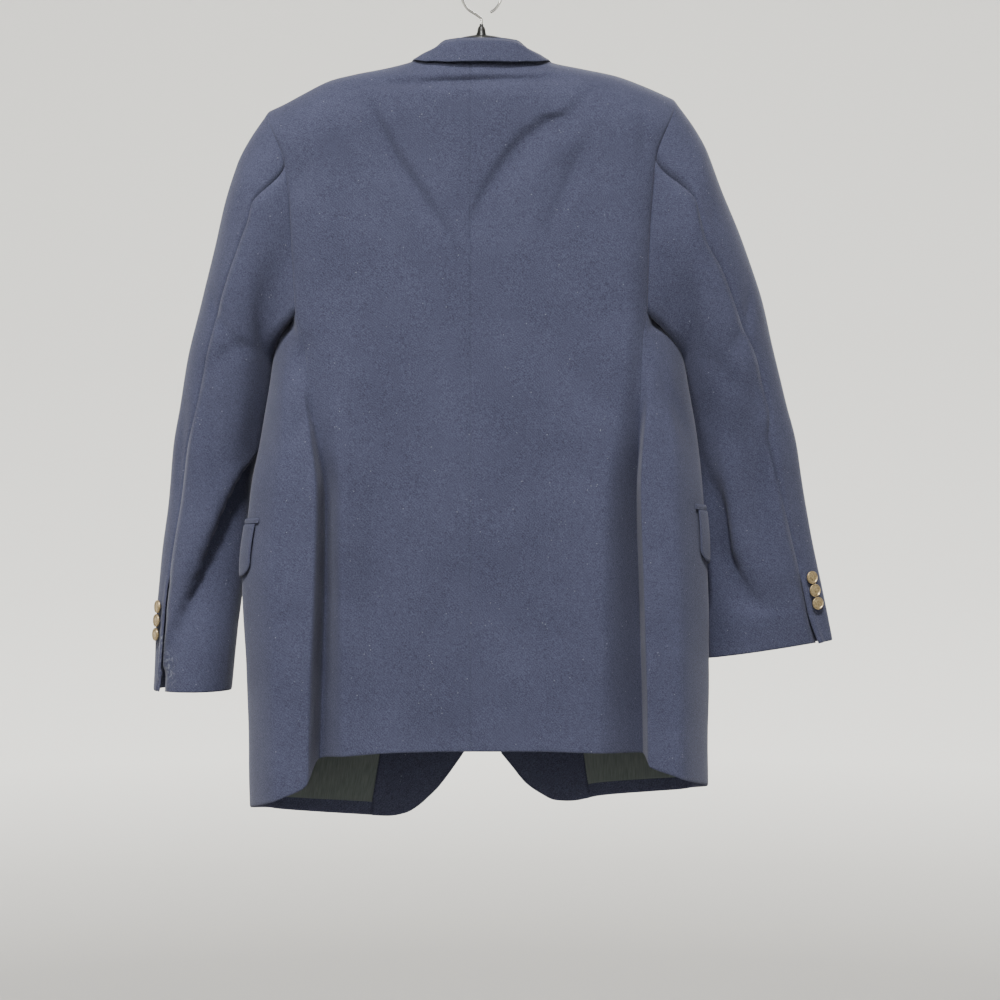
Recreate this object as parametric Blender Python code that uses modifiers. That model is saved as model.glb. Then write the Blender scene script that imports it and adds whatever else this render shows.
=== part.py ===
"""A single-breasted blazer on a plastic hanger, seen from its back.

Metres, +Z up.  -Y is the wearer's back, +Y the front, -X the wearer's left.
The origin is the inner top of the hook, where a rod or a nail carries the hanger.

The body is one smooth surface, body_point(s, w).  The station s runs round the cloth
in millimetres from the left front edge (negative) over the centre back (0) to the right
front edge (positive).  The height w runs from 0 at the hem to 1 where the shoulder starts
to round over the hanger, and to 2 at the shoulder seam.  Every panel is a stretch of it.
"""
import math

import bmesh
import bpy
import numpy as np
from mathutils import Matrix, Vector

# ---------------------------------------------------------------- driving sizes, metres
MM = 0.001
GAP = 0.0003             # between two pieces at a seam
CLOTH = 0.0020           # wool with its canvas
FACING = 0.0015
SATIN = 0.0010           # the lining
FLAP = 0.0020
ARCH_HEIGHT = 0.075      # how far the shoulder takes to round over the hanger
CENTRE_SEAM_X = -0.012
ROWS_BELOW = 19          # rows of a panel's grid from hem to underarm
ROWS_ABOVE = 9           # rows from underarm to shoulder
BACK_COLUMNS = 13
SIDE_COLUMNS = 9
FRONT_STATIONS = (345, 372, 400, 430, 461, 484, 503, 518, 530, 540)   # closer at the rounded corner
FACING_COLUMN = 4        # the column where the lining meets the facing

HOOK_WIRE = 0.0032
HOOK_RADIUS = 0.0230     # to the middle of the wire
HANGER_REACH = 0.178     # from the neck to the tip of an arm
ARM_HALF_DEPTH = 0.0085

# ---------------------------------------------------------------- the cut, millimetres
# Stations round one half of the body, from the centre back to the front edge.
STATION = {"centre": 0, "back": 70, "crest": 140, "seam": 175, "ridge": 205, "panel": 245,
           "edge": 285, "front_seam": 345, "front": 450, "front_edge": 540}

# One row for each level below the underarm.  crest: where the back panel starts to fall into
# the fold; seam: the side-back seam at the bottom of the fold; ridge: where the side panel comes
# out of it; panel: its middle; edge: the outline of the body; front_seam: side panel to front.
LOWER_COLUMNS = ("z", "back_y", "crest_x", "crest_y", "seam_x", "seam_y", "ridge_x", "ridge_y",
                 "panel_x", "panel_y", "edge_x", "edge_y", "front_seam_x", "front_seam_y", "front_y")
LOWER_LEFT = [
    (-960, -56, -152, -62, -187, -34, -196, -80, -228, -76, -266, -20, -246, 34, 44),
    (-900, -56, -152, -62, -184, -34, -194, -80, -228, -76, -267, -20, -246, 36, 46),
    (-800, -57, -153, -63, -181, -34, -192, -79, -230, -77, -270, -20, -248, 37, 47),
    (-700, -58, -155, -65, -178, -36, -188, -78, -232, -77, -275, -20, -250, 38, 48),
    (-600, -60, -154, -67, -177, -42, -186, -75, -224, -74, -265, -20, -242, 38, 50),
    (-540, -61, -157, -67, -184, -55, -193, -70, -222, -66, -256, -6, -246, 36, 52),
    (-480, -62, -164, -66, -194, -59, -203, -61, -223, -52, -246, -4, -238, 34, 54),
    (-420, -62, -175, -64, -204, -54, -211, -46, -222, -31, -237, -2, -228, 30, 56),
]
LOWER_RIGHT = [
    (-960, -56, 132, -66, 186, -28, 189, -80, 222, -78, 261, -16, 242, 34, 44),
    (-900, -56, 133, -66, 185, -28, 188, -80, 222, -78, 261, -16, 242, 36, 46),
    (-800, -57, 135, -67, 183, -26, 186, -81, 222, -78, 262, -16, 242, 37, 47),
    (-700, -58, 136, -68, 180, -27, 183, -80, 220, -77, 261, -16, 240, 38, 48),
    (-600, -60, 139, -69, 177, -36, 180, -77, 216, -73, 255, -17, 236, 38, 50),
    (-540, -61, 148, -68, 179, -50, 184, -72, 215, -66, 250, -6, 242, 36, 52),
    (-480, -62, 157, -66, 181, -57, 192, -61, 214, -52, 240, -4, 232, 34, 54),
    (-420, -62, 162, -64, 184, -54, 196, -46, 211, -31, 229, -2, 221, 30, 56),
]
# One row for each level from the underarm up, where the panels end at the armhole.
UPPER_COLUMNS = ("z", "back_y", "crest_x", "crest_y", "back_arm_x", "back_arm_y",
                 "front_arm_x", "front_arm_y", "front_y")
UPPER_LEFT = [
    (-395, -62, -178, -63, -211, -49, -214, 29, 56),
    (-330, -62, -178, -63, -215, -47, -211, 32, 56),
    (-270, -60, -178, -61, -218, -48, -212, 36, 55),
    (-220, -58, -182, -60, -225, -49, -222, 40, 52),
    (-158, -58, -194, -60, -246, -50, -246, 42, 50),
    (-99, -58, -194, -60, -246, -50, -246, 42, 50),
]
UPPER_RIGHT = [
    (-395, -62, 163, -63, 189, -49, 205, 29, 56),
    (-330, -62, 163, -63, 191, -47, 194, 32, 56),
    (-270, -60, 160, -61, 194, -48, 190, 36, 55),
    (-220, -58, 162, -60, 199, -49, 198, 40, 52),
    (-145, -58, 176, -60, 223, -50, 223, 42, 50),
    (-99, -58, 176, -60, 223, -50, 223, 42, 50),
]
# The shoulder line over the hanger, from one shoulder point to the other.
SHOULDER = [
    (-250, -160), (-246, -158), (-230, -150.5), (-205, -137), (-172, -121.5), (-152, -116.5), (-84, -101.5),
    (-74, -98), (-40, -85), (0, -80), (40, -85), (74, -98), (85, -102), (114, -108), (153, -116.5), (187, -128.5),
    (223, -144.5), (228, -147),
]
# The hem, by station.  It falls from the back to the rounded corners of the fronts.
HEM = [
    (-540, -905), (-532, -928), (-523, -949), (-509, -967), (-494, -977), (-478, -980), (-450, -978),
    (-400, -974), (-345, -969), (-285, -960), (-245, -944), (-205, -927), (-175, -902), (-140, -897),
    (-70, -893), (0, -892), (70, -892), (140, -893), (175, -897), (205, -905), (245, -919),
    (285, -936), (345, -946), (400, -951), (450, -956), (484, -962), (498, -961), (511, -953),
    (524, -940), (532, -923), (540, -906),
]
# The front edges.  They are buttoned together at the waist and cut away to the hem, and above
# the top button the edge is the roll line of the lapel, up to the neck point.
FRONT_EDGE_LEFT = [(-990, -45), (-905, -21), (-850, -7), (-780, 6), (-700, 15), (-620, 20), (-520, 20),
                   (-300, -34), (-98, -74)]
FRONT_EDGE_RIGHT = [(-990, 45), (-906, 23), (-850, 9), (-780, -6), (-700, -15), (-620, -20), (-520, -20),
                    (-300, 34), (-98, 74)]
OVERLAP_LIFT = 8.5       # the left front lies this far over the right one
ARMHOLE_FLOOR = [(175, -395), (205, -401), (245, -407), (285, -407), (345, -395)]
NECK_HALF_WIDTH = 74.0
NECK_DIP = 0.55          # how far down the rounding of the shoulder the back neck is cut, in w

# The largest folds of the back: soft troughs from one point to the other, in X and Z.
FOLD_COLUMNS = ("x0", "z0", "x1", "z1", "depth", "width")
FOLDS = [
    (-152, -137, -110, -192, 4.0, 15),
    (-110, -192, -28, -305, 5.0, 18),
    (86, -160, 48, -195, 3.0, 14),
    (48, -195, 0, -290, 3.5, 16),
    (-196, -505, -214, -548, 3.0, 12),
    (208, -478, 236, -530, 3.0, 12),
]

# Sleeve sections from the armhole to the cuff: the outer and the inner point of the outline,
# the middle and half of the depth, and the angles of the back seam and the inner seam.
SLEEVE_COLUMNS = ("outer_x", "outer_z", "inner_x", "inner_z", "mid_y", "half_depth", "back_seam", "inner_seam")
SLEEVE_LEFT = [
    (-259, -169, -229, -405, -4, 54, 66, 236),
    (-271, -190, -232, -406, -3, 57, 72, 238),
    (-283, -222, -235, -409, -2, 58, 75, 240),
    (-296, -262, -238, -414, 0, 58, 75, 240),
    (-310, -322, -242, -426, 2, 57, 66, 240),
    (-325, -380, -244, -446, 4, 55, 65, 240),
    (-341, -445, -251, -482, 6, 52, 69, 240),
    (-350, -500, -260, -524, 8, 50, 61, 240),
    (-358, -545, -268, -566, 10, 49, 57, 240),
    (-364, -610, -274, -622, 12, 48, 54, 240),
    (-373, -678, -279, -684, 14, 47, 50, 240),
    (-379, -750, -285, -752, 15, 46, 46, 240),
    (-382, -828, -292, -828, 16, 45, 42, 240),
]
SLEEVE_RIGHT = [
    (237, -157, 217, -404, -4, 54, 68, 236),
    (250, -178, 220, -405, -3, 57, 72, 238),
    (263, -210, 223, -408, -2, 58, 78, 240),
    (277, -247, 226, -413, 0, 58, 80, 240),
    (300, -302, 230, -425, 2, 56, 75, 240),
    (325, -375, 236, -446, 5, 52, 72, 240),
    (342, -445, 245, -479, 9, 47, 60, 240),
    (355, -495, 254, -520, 13, 42, 60, 240),
    (367, -540, 259, -558, 17, 38, 70, 240),
    (378, -610, 261, -622, 21, 34, 61, 240),
    (392, -678, 262, -690, 24, 29, 53, 240),
    (404, -735, 263, -748, 26, 25, 50, 240),
    (411, -771, 265, -792, 27, 22, 43, 240),
]

# The collar, from the middle of the back neck to its point in front.  place: millimetres from the
# middle to the neck point, at 74, and beyond it 100 for each unit of w down the roll line.  The rest
# are steps from the neck seam to the fold, to the roll of the fall and to its edge: away from the
# middle, forwards and up.
COLLAR_COLUMNS = ("place", "fold_out", "fold_y", "fold_up", "roll_out", "roll_y", "roll_up",
                  "edge_out", "edge_y", "edge_up")
COLLAR = [
    (0, 0, 3, 27, 0, -8, 20, 0, -13, -3),
    (20, 0, 3, 27, 0, -8, 20, 2, -13, -3),
    (40, -1, 4, 24, 1, -7, 17, 5, -12, -3),
    (55, -4, 5, 15, 1, -5, 11, 8, -10, -3),
    (66, -6, 4, 9, 1, -3, 8, 11, -9, -1),
    (74, -6, 2, 6, 2, 0, 6, 13, -3, 3),
    (104, -3, 4, 6, 4, 4, 6, 20, 5, -2),
    (134, -2, 6, 4, 5, 9, 2, 25, 10, -11),
    (162, -1, 6, 2, 5, 9, 0, 25, 9, -17),
]
COLLAR_FRONT_ROWS = 5    # rows of the front's grid that the collar runs down the roll line

# The lapel, from the break of the roll line up: height of a row and its width.
LAPEL = [(-512, 4), (-450, 26), (-380, 50), (-300, 72), (-225, 90)]
LAPEL_START = {"left": -512, "right": -462}    # the right one comes out from under the left front
LAPEL_TOP = (-186, -226)                 # the height of its upper edge at the roll line and outside

# Pockets: station and height (millimetres of z at the top edge) of each end.
FLAP_ENDS = {"left": (-266, -420, -634, -646), "right": (268, 420, -618, -632)}
FLAP_DROP = 60.0
JET_HEIGHT = 6.0
WELT = (-448, -398, -300, -288, 24.0)    # stations, heights of the ends and drop

SLEEVE_BUTTON_RADIUS = 0.0075
FRONT_BUTTON_RADIUS = 0.0105
SLEEVE_BUTTON_ROWS = {"left": (-730, -746, -762), "right": (-697, -712, -727)}
FRONT_BUTTON_Z = (-0.535, -0.640)
SHANK = 0.0022
BUTTON_SHIFT = 4.0       # from the back seam onto the top sleeve
BUTTON_SEAT = 0.0005     # from the cloth to the shank's foot, which is flat on a round sleeve

SIGN = {"left": -1, "right": 1}
SLEEVE_RINGS = 17
COLLAR_SEAT = 0.0004     # from the neck edge of the panels to the collar's stand
COLLAR_KNOTS = np.array([0.0, 25, 38, 62])       # along the cloth: seam, fold, roll, edge
COLLAR_ACROSS = np.array([0.0, 9, 17, 22, 25, 28, 32, 38, 50, 62])
LINING_HEM_W = 0.02
LAPEL_LIFT = 0.0009
LAPEL_ROLL = 0.0040
ARM_HEIGHT = 0.017
ARM_CLEARANCE = 0.0009
HANGER_HUMP = [(0, -67), (25, -71.5), (50, -86), (66, -99), (78, -104), (96, -108)]   # half width and height
HANGER_TOP = HANGER_HUMP[0][1] * MM
NECK_TOP = -0.0560
SOCKET_FLOOR = -0.0720

# Folds of the sleeves: the rows of the table and the angles where each starts and ends.
SLEEVE_FOLD_COLUMNS = ("from_row", "from_angle", "to_row", "to_angle", "depth", "width", "both_ends")
SLEEVE_FOLDS = {
    "left": [(8, 150, 12.01, 78, 9, 22, 0), (6, 60, 8.5, 120, 4, 18, 1), (2, 100, 6, 130, 4, 25, 1)],
    "right": [(8, 140, 12.01, 100, 9, 20, 0), (6, 60, 8.5, 120, 4, 18, 1), (2, 100, 6, 130, 4, 25, 1)],
}


# ---------------------------------------------------------------- curves
def slopes(knots, values):
    """Tangents that never overshoot, along the last axis of values."""
    slope = np.diff(values, axis=-1) / np.diff(knots)
    before, after = slope[..., :-1], slope[..., 1:]
    same_way = before * after > 0
    total = np.where(same_way, before + after, 1.0)
    middle = np.where(same_way, 2 * before * after / total, 0.0)
    return np.concatenate([slope[..., :1], middle, slope[..., -1:]], -1)


def curve(knots, values, at):
    """Read a smooth curve at each place; values may hold a row of its own for each place."""
    knots = np.asarray(knots, float)
    at = np.asarray(at, float)
    values = np.broadcast_to(np.asarray(values, float), at.shape + (len(knots),))
    bend = slopes(knots, values)
    left = np.clip(np.searchsorted(knots, at, side="right") - 1, 0, len(knots) - 2)
    step = knots[left + 1] - knots[left]
    t = np.clip((at - knots[left]) / step, 0, 1)

    def pick(table, index):
        return np.take_along_axis(table, index[..., None], -1)[..., 0]

    return (pick(values, left) * (1 + 2 * t) * (1 - t) ** 2 + pick(values, left + 1) * t * t * (3 - 2 * t)
            + pick(bend, left) * step * t * (1 - t) ** 2 - pick(bend, left + 1) * step * t * t * (1 - t))


def unit(vectors):
    return vectors / np.linalg.norm(vectors, axis=-1, keepdims=True)


def columns_of(names, rows):
    """A table's columns by name."""
    return dict(zip(names, np.array(rows, float).T))


# ---------------------------------------------------------------- the body's surface
def half_sections(lower_rows, upper_rows, front_edge, lift):
    """Heights, and for each the X and Y of every station of one half."""
    lower = columns_of(LOWER_COLUMNS, lower_rows)
    upper = columns_of(UPPER_COLUMNS, upper_rows)
    between = np.linspace(0, 1, 5)
    xs, ys = [], []
    for row in range(len(lower_rows)):
        part = {name: column[row] for name, column in lower.items()}
        xs.append([part[name + "_x"] for name in ("seam", "ridge", "panel", "edge", "front_seam")])
        ys.append([part[name + "_y"] for name in ("seam", "ridge", "panel", "edge", "front_seam")])
    for row in range(len(upper_rows)):
        part = {name: column[row] for name, column in upper.items()}
        out = np.array([0, 4, 9, 10, 0]) * math.copysign(1, part["back_arm_x"])
        xs.append(part["back_arm_x"] + (part["front_arm_x"] - part["back_arm_x"]) * between + out)
        ys.append(part["back_arm_y"] + (part["front_arm_y"] - part["back_arm_y"]) * between)
    z = np.concatenate([lower["z"], upper["z"]])
    back_y, crest_x, crest_y, front_y = (np.concatenate([lower[name], upper[name]])
                                         for name in ("back_y", "crest_x", "crest_y", "front_y"))
    centre_x = np.full(len(z), CENTRE_SEAM_X / MM)
    side_x, side_y = np.array(xs), np.array(ys)
    edge_z, edge_x = np.array(front_edge, float).T
    front_edge_x = curve(edge_z, edge_x, z)
    front_x = (side_x[:, -1] + front_edge_x) / 2
    x = np.column_stack([centre_x, (centre_x + crest_x) / 2, crest_x, side_x, front_x, front_edge_x])
    y = np.column_stack([back_y, back_y - 1, crest_y, side_y, front_y, front_y + lift])
    return z, x, y


LEFT_SECTIONS = half_sections(LOWER_LEFT, UPPER_LEFT, FRONT_EDGE_LEFT, OVERLAP_LIFT)
RIGHT_SECTIONS = half_sections(LOWER_RIGHT, UPPER_RIGHT, FRONT_EDGE_RIGHT, 0.0)
ROUND = np.array(list(STATION.values()), float)
ALL_STATIONS = np.concatenate([-ROUND[:0:-1], ROUND])


def section_at(z):
    """X and Y of all stations, from the left front edge to the right one, at each height."""
    halves = []
    for heights, x, y in (LEFT_SECTIONS, RIGHT_SECTIONS):
        halves.append([np.stack([curve(heights, column, z) for column in table.T], -1) for table in (x, y)])
    (left_x, left_y), (right_x, right_y) = halves
    return (np.concatenate([left_x[..., :0:-1], right_x], -1),
            np.concatenate([left_y[..., :0:-1], right_y], -1))


def plain_point(s, w):
    """The cloth's outer face before its drape folds, in millimetres."""
    s, w = np.broadcast_arrays(np.asarray(s, float), np.asarray(w, float))
    shoulder_x, shoulder_z = np.array(SHOULDER, float).T
    hem_s, hem_z = np.array(HEM, float).T
    hem = curve(hem_s, hem_z, s)
    angle = np.radians(90 * np.clip(2 - w, 0, 1))
    top = np.full(s.shape, -120.0)
    for _ in range(4):
        start = top - ARCH_HEIGHT / MM
        z = np.where(w < 1, hem + (start - hem) * w, top - ARCH_HEIGHT / MM * (1 - np.cos(angle)))
        station_x, station_y = section_at(z)
        x = curve(ALL_STATIONS, station_x, s)
        top = curve(shoulder_x, shoulder_z, x)
    y = curve(ALL_STATIONS, station_y, s) * np.sin(angle)
    return np.stack([x, y, z], -1)


def fold_depth(point):
    """How far the drape folds press the back in, at points in millimetres."""
    depth = np.zeros(point.shape[:-1])
    for row in FOLDS:
        fold = dict(zip(FOLD_COLUMNS, row))
        start = np.array([fold["x0"], fold["z0"]], float)
        run = np.array([fold["x1"], fold["z1"]], float) - start
        along = np.clip(((point[..., (0, 2)] - start) @ run) / (run @ run), 0, 1)
        away = np.linalg.norm(point[..., (0, 2)] - start - along[..., None] * run, axis=-1)
        depth += fold["depth"] * np.exp(-(away / fold["width"]) ** 2)
    return depth * np.clip((-30 - point[..., 1]) / 15, 0, 1)


def normals(surface, s, w):
    """Outward normals of a surface from small steps to both sides."""
    last = STATION["front_edge"] - 0.5
    s = np.clip(s, -last, last)
    side = surface(s + 0.5, w) - surface(s - 0.5, w)
    up = surface(s, np.minimum(w + 0.002, 2.0)) - surface(s, w - 0.002)
    normal = np.cross(side, up)
    return normal / np.linalg.norm(normal, axis=-1, keepdims=True)


def body_point(s, w):
    """A point of the cloth's outer face, in metres."""
    s, w = np.broadcast_arrays(np.asarray(s, float), np.asarray(w, float))
    point = plain_point(s, w)
    return (point - normals(plain_point, s, w) * fold_depth(point)[..., None]) * MM


def body_normal(s, w):
    """The outward normal of the folded cloth."""
    return normals(body_point, np.asarray(s, float), np.asarray(w, float))


def body_directions(s, w):
    """Unit steps round the body and up the cloth."""
    across = body_point(s + 0.5, w) - body_point(s - 0.5, w)
    along = body_point(s, np.minimum(w + 0.002, 2.0)) - body_point(s, w - 0.002)
    return unit(across), unit(along)


def w_at_height(s, z):
    """The w of a height z (metres) at a station, below the rounding of the shoulder."""
    low = np.zeros(np.shape(s))
    high = np.ones(np.shape(s)) * 1.999
    for _ in range(24):
        middle = (low + high) / 2
        below = plain_point(s, middle)[..., 2] * MM < z
        low = np.where(below, middle, low)
        high = np.where(below, high, middle)
    return (low + high) / 2


def underarm_w(s):
    """Where the side panel ends at the armhole."""
    floor_s, floor_z = np.array(ARMHOLE_FLOOR, float).T
    return w_at_height(s, curve(floor_s, floor_z, np.abs(s)) * MM)


# ---------------------------------------------------------------- walls
def wall(name, outer, inner, material):
    """A closed wall between two grids of points, its outer face first.  All squares are split the
    same way, so that two walls on the same points stay the same distance apart."""
    rows, columns = outer.shape[:2]
    count = rows * columns
    vertices = np.concatenate([outer.reshape(-1, 3), inner.reshape(-1, 3)])

    def at(row, column, layer):
        return layer * count + row * columns + column

    faces = []
    for row in range(rows - 1):
        for column in range(columns - 1):
            square = [(row, column), (row, column + 1), (row + 1, column + 1), (row + 1, column)]
            for corners in (square[:3], (square[0], square[2], square[3])):
                faces.append([at(r, c, 0) for r, c in corners])
                faces.append([at(r, c, 1) for r, c in reversed(corners)])
    border = [(0, column) for column in range(columns)]
    border += [(row, columns - 1) for row in range(1, rows)]
    border += [(rows - 1, column) for column in range(columns - 2, -1, -1)]
    border += [(row, 0) for row in range(rows - 2, 0, -1)]
    for here, after in zip(border, border[1:] + border[:1]):
        a, b, c, d = at(*here, 1), at(*after, 1), at(*after, 0), at(*here, 0)
        faces += [[a, b, c], [a, c, d]] if here < after else [[a, b, d], [b, c, d]]
    mesh = bpy.data.meshes.new(name)
    mesh.from_pydata(vertices.tolist(), [], faces)
    mesh.validate()
    return add_object(name, mesh, material)


def add_object(name, mesh, material):
    mesh.materials.append(material)
    mesh.shade_smooth()
    mesh.set_sharp_from_angle(angle=math.radians(50))
    piece = bpy.data.objects.new(name, mesh)
    collection.objects.link(piece)
    return piece


def grid_wall(name, s, w, thickness, material, lift=0.0, inset=GAP / 2):
    """A wall on the body's surface, its four edges drawn in by inset and its face moved out by lift."""
    point = body_point(s, w)
    normal = body_normal(s, w)
    outer = point + normal * lift
    inner = point + normal * (lift - thickness)
    across, along = body_directions(s, w)
    move = np.zeros_like(point)
    move[:, 0] += across[:, 0] * inset
    move[:, -1] -= across[:, -1] * inset
    move[0] += along[0] * inset
    move[-1] -= along[-1] * inset
    return wall(name, outer + move, inner + move, material)


def tall_panel_w(seam_s, top_w):
    """The w of a panel that reaches the shoulder: panels that share a seam share its heights."""
    start = float(underarm_w(np.array(seam_s, float)))
    below = np.linspace(0, start, ROWS_BELOW)[:, None] + 0 * top_w
    above = start + (top_w - start) * np.linspace(0, 1, ROWS_ABOVE)[1:, None]
    return np.concatenate([below, above])


def neck_w(s):
    """Where the back panel ends: lower in the middle of the neck, at the seam on the shoulders."""
    across = np.abs(plain_point(s, 2.0)[..., 0]) / NECK_HALF_WIDTH
    return 2.0 - NECK_DIP * np.sqrt(np.clip(1 - across ** 2, 0, 1))


def span(side, start, end, count):
    """Stations of a panel on one side, always in rising order."""
    stations = np.linspace(start, end, count)
    return stations if side == "right" else -stations[::-1]


# ---------------------------------------------------------------- the cut pieces of the body
def back_stations(side):
    """Closer together where the back panel falls into the fold at its side seam."""
    seam = STATION["seam"]
    stations = seam * (1 - (1 - np.linspace(0, 1, BACK_COLUMNS)) ** 1.25)
    return stations if side == "right" else -stations[::-1]


def build_back(side):
    s = back_stations(side)[None, :]
    w = tall_panel_w(STATION["seam"] * SIGN[side], neck_w(s))
    grid_wall("back_" + side, s, w, CLOTH, wool)


def build_side(side):
    s = span(side, STATION["seam"], STATION["front_seam"], SIDE_COLUMNS)[None, :]
    w = np.linspace(0, 1, ROWS_BELOW)[:, None] * underarm_w(s)
    grid_wall("side_" + side, s, w, CLOTH, wool)


def front_grid(side, first, last):
    """Stations and heights of the front, or of the columns of it that a lining piece covers."""
    s = np.array(FRONT_STATIONS[first:last], float)
    s = (s if side == "right" else -s[::-1])[None, :]
    return s, tall_panel_w(STATION["front_seam"] * SIGN[side], 2.0 + 0 * s)


def build_front(side):
    s, w = front_grid(side, 0, len(FRONT_STATIONS))
    grid_wall("front_" + side, s, w, CLOTH, wool)


def build_facing(side):
    """The wool strip behind the front edge, on the inner face of the front."""
    s, w = front_grid(side, FACING_COLUMN, len(FRONT_STATIONS))
    grid_wall("facing_" + side, s, w[:-1], FACING, wool, lift=-CLOTH - GAP, inset=GAP)


def build_lining(side):
    """The satin between the facing and the side seam, as far up as the underarm."""
    s, w = front_grid(side, 0, FACING_COLUMN + 1)
    w = w[:ROWS_BELOW - 1]
    w[0] = LINING_HEM_W
    grid_wall("lining_" + side, s, w, SATIN, satin, lift=-CLOTH - GAP, inset=GAP)


def build_lapel(side):
    """The turned-back top of the facing, on the outer face of the front."""
    row_z, row_width = np.array(LAPEL, float).T
    up = np.linspace(0, 1, 10)[:, None]
    across = np.linspace(0, 1, 6)[None, :]
    top_z = LAPEL_TOP[0] + (LAPEL_TOP[1] - LAPEL_TOP[0]) * across
    z = LAPEL_START[side] + (top_z - LAPEL_START[side]) * up
    width = curve(row_z, row_width, np.clip(z, row_z[0], row_z[-1]))
    s = STATION["front_edge"] - 1 - width * across
    w = w_at_height(s * SIGN[side], z * MM)
    roll = LAPEL_LIFT + LAPEL_ROLL * np.sin(math.pi * (1 - across) ** 1.5) * np.minimum(1, 6 * up ** 2)
    if side == "left":
        s, w, roll = -s, w, roll + 0 * up
    else:
        s, w, roll = s[:, ::-1], w[:, ::-1], (roll + 0 * up)[:, ::-1]
    grid_wall("lapel_" + side, s, w, CLOTH, wool, lift=roll[..., None] + CLOTH)


def build_on_panel(name, ends, drop, lift, thickness, columns, rows, round_corner=0.0):
    """A flap, jet or welt that lies on the body between two stations, with its top edge on a line."""
    start_s, end_s, start_z, end_z = ends
    s = np.linspace(min(start_s, end_s), max(start_s, end_s), columns)[None, :]
    t = (s - start_s) / (end_s - start_s)
    length = abs(end_s - start_s)
    from_end = np.minimum(t, 1 - t) * length
    inside = np.clip(1 - from_end / max(round_corner, 1e-6), 0, 1)
    cut = round_corner * (1 - np.sqrt(1 - inside ** 2))
    down = np.linspace(1, 0, rows)[:, None]
    z = start_z + (end_z - start_z) * t - down * (drop - cut)
    grid_wall(name, s + 0 * z, w_at_height(s + 0 * z, z * MM), thickness, wool, lift=lift + thickness)


def build_pockets(side):
    ends = FLAP_ENDS[side]
    build_on_panel("flap_" + side, ends, FLAP_DROP, 0.0014, FLAP, 11, 6, round_corner=14.0)
    jet_ends = (ends[0] - 3 * SIGN[side], ends[1] + 3 * SIGN[side],
                ends[2] + JET_HEIGHT + 0.8, ends[3] + JET_HEIGHT + 0.8)
    build_on_panel("jet_" + side, jet_ends, JET_HEIGHT, 0.0014, 0.0015, 13, 2)


# ---------------------------------------------------------------- sleeves
def armhole_ring(side):
    """Points of the armhole from the shoulder down the back and up the front, with the direction
    in which the cloth of the body would go on, and its normal."""
    sign = SIGN[side]
    back_s, front_s = STATION["seam"] * sign, STATION["front_seam"] * sign
    back_w = tall_panel_w(back_s, np.array([2.0]))[ROWS_BELOW - 1:, 0][::-1]
    front_w = tall_panel_w(front_s, np.array([2.0]))[ROWS_BELOW - 1:, 0]
    floor_s = np.linspace(STATION["seam"], STATION["front_seam"], SIDE_COLUMNS) * sign
    floor_w = underarm_w(floor_s)
    s = np.concatenate([np.full(len(back_w), back_s), floor_s[1:-1], np.full(len(front_w) - 1, front_s)])
    w = np.concatenate([back_w, floor_w[1:-1], front_w[:-1]])
    point, normal = body_point(s, w), body_normal(s, w)
    outward, upward = body_directions(s, w)
    outward = outward * sign
    on_back = np.arange(len(s)) < len(back_w)
    on_front = np.arange(len(s)) >= len(back_w) + len(floor_s) - 2
    on_floor = (np.arange(len(s)) >= len(back_w) - 1) & (np.arange(len(s)) <= len(back_w) + len(floor_s) - 2)
    go_on = outward * on_back[:, None] - outward * on_front[:, None] + upward * on_floor[:, None]
    return point, go_on, normal, len(back_w) + (len(floor_s) - 2) // 2


def sleeve_surface(side, rings, armhole, bottom):
    """Rings of points from the table, each with as many points as the armhole."""
    table = columns_of(SLEEVE_COLUMNS, SLEEVE_LEFT if side == "left" else SLEEVE_RIGHT)
    steps = np.linspace(0, len(SLEEVE_LEFT) - 1, rings)
    row = {name: curve(np.arange(len(column)), column, steps)[:, None] for name, column in table.items()}
    length = np.concatenate([[0], np.cumsum(np.linalg.norm(np.diff(armhole, axis=0, append=armhole[:1]),
                                                           axis=-1))])
    half = length[bottom]
    angle = np.where(length <= half, 180 * length / half,
                     180 + 180 * (length - half) / (length[-1] - half))[:-1]
    back = int(np.argmin(np.abs(angle - table["back_seam"][0])))
    inner = int(np.argmin(np.abs(angle - table["inner_seam"][0])))
    turned = np.stack([np.interp(angle, [0, angle[back], 180, angle[inner], 360],
                                 [0, row["back_seam"][ring, 0], 180, row["inner_seam"][ring, 0], 360])
                       for ring in range(rings)])
    cosine, sine = np.cos(np.radians(turned)), np.sin(np.radians(turned))
    x = (row["outer_x"] + row["inner_x"]) / 2 + (row["outer_x"] - row["inner_x"]) / 2 * cosine
    z = (row["outer_z"] + row["inner_z"]) / 2 + (row["outer_z"] - row["inner_z"]) / 2 * cosine
    y = row["mid_y"] - row["half_depth"] * sine
    points = np.stack([x, y, z], -1) * MM
    for fold in SLEEVE_FOLDS[side]:
        press_fold(points, steps[:, None], turned, dict(zip(SLEEVE_FOLD_COLUMNS, fold)))
    return points, back, inner


def press_fold(points, steps, turned, fold):
    """A trough (or, with a negative depth, a ridge) that runs along the sleeve."""
    along = (steps - fold["from_row"]) / (fold["to_row"] - fold["from_row"])
    middle = fold["from_angle"] + (fold["to_angle"] - fold["from_angle"]) * along
    inside = np.clip(along, 0, 1)
    fade = np.sin(math.pi * inside * (1.0 if fold["both_ends"] else 0.5)) ** 2
    depth = fold["depth"] * MM * fade * np.exp(-((turned - middle) / fold["width"]) ** 2)
    centre = points.mean(axis=1, keepdims=True)
    points += unit(centre - points) * depth[..., None]


def ring_normals(points, facing_out):
    """Normals of a closed tube of rings."""
    around = np.roll(points, -1, axis=1) - np.roll(points, 1, axis=1)
    along = np.gradient(points, axis=0)
    normal = unit(np.cross(around, along))
    return normal * facing_out


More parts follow.
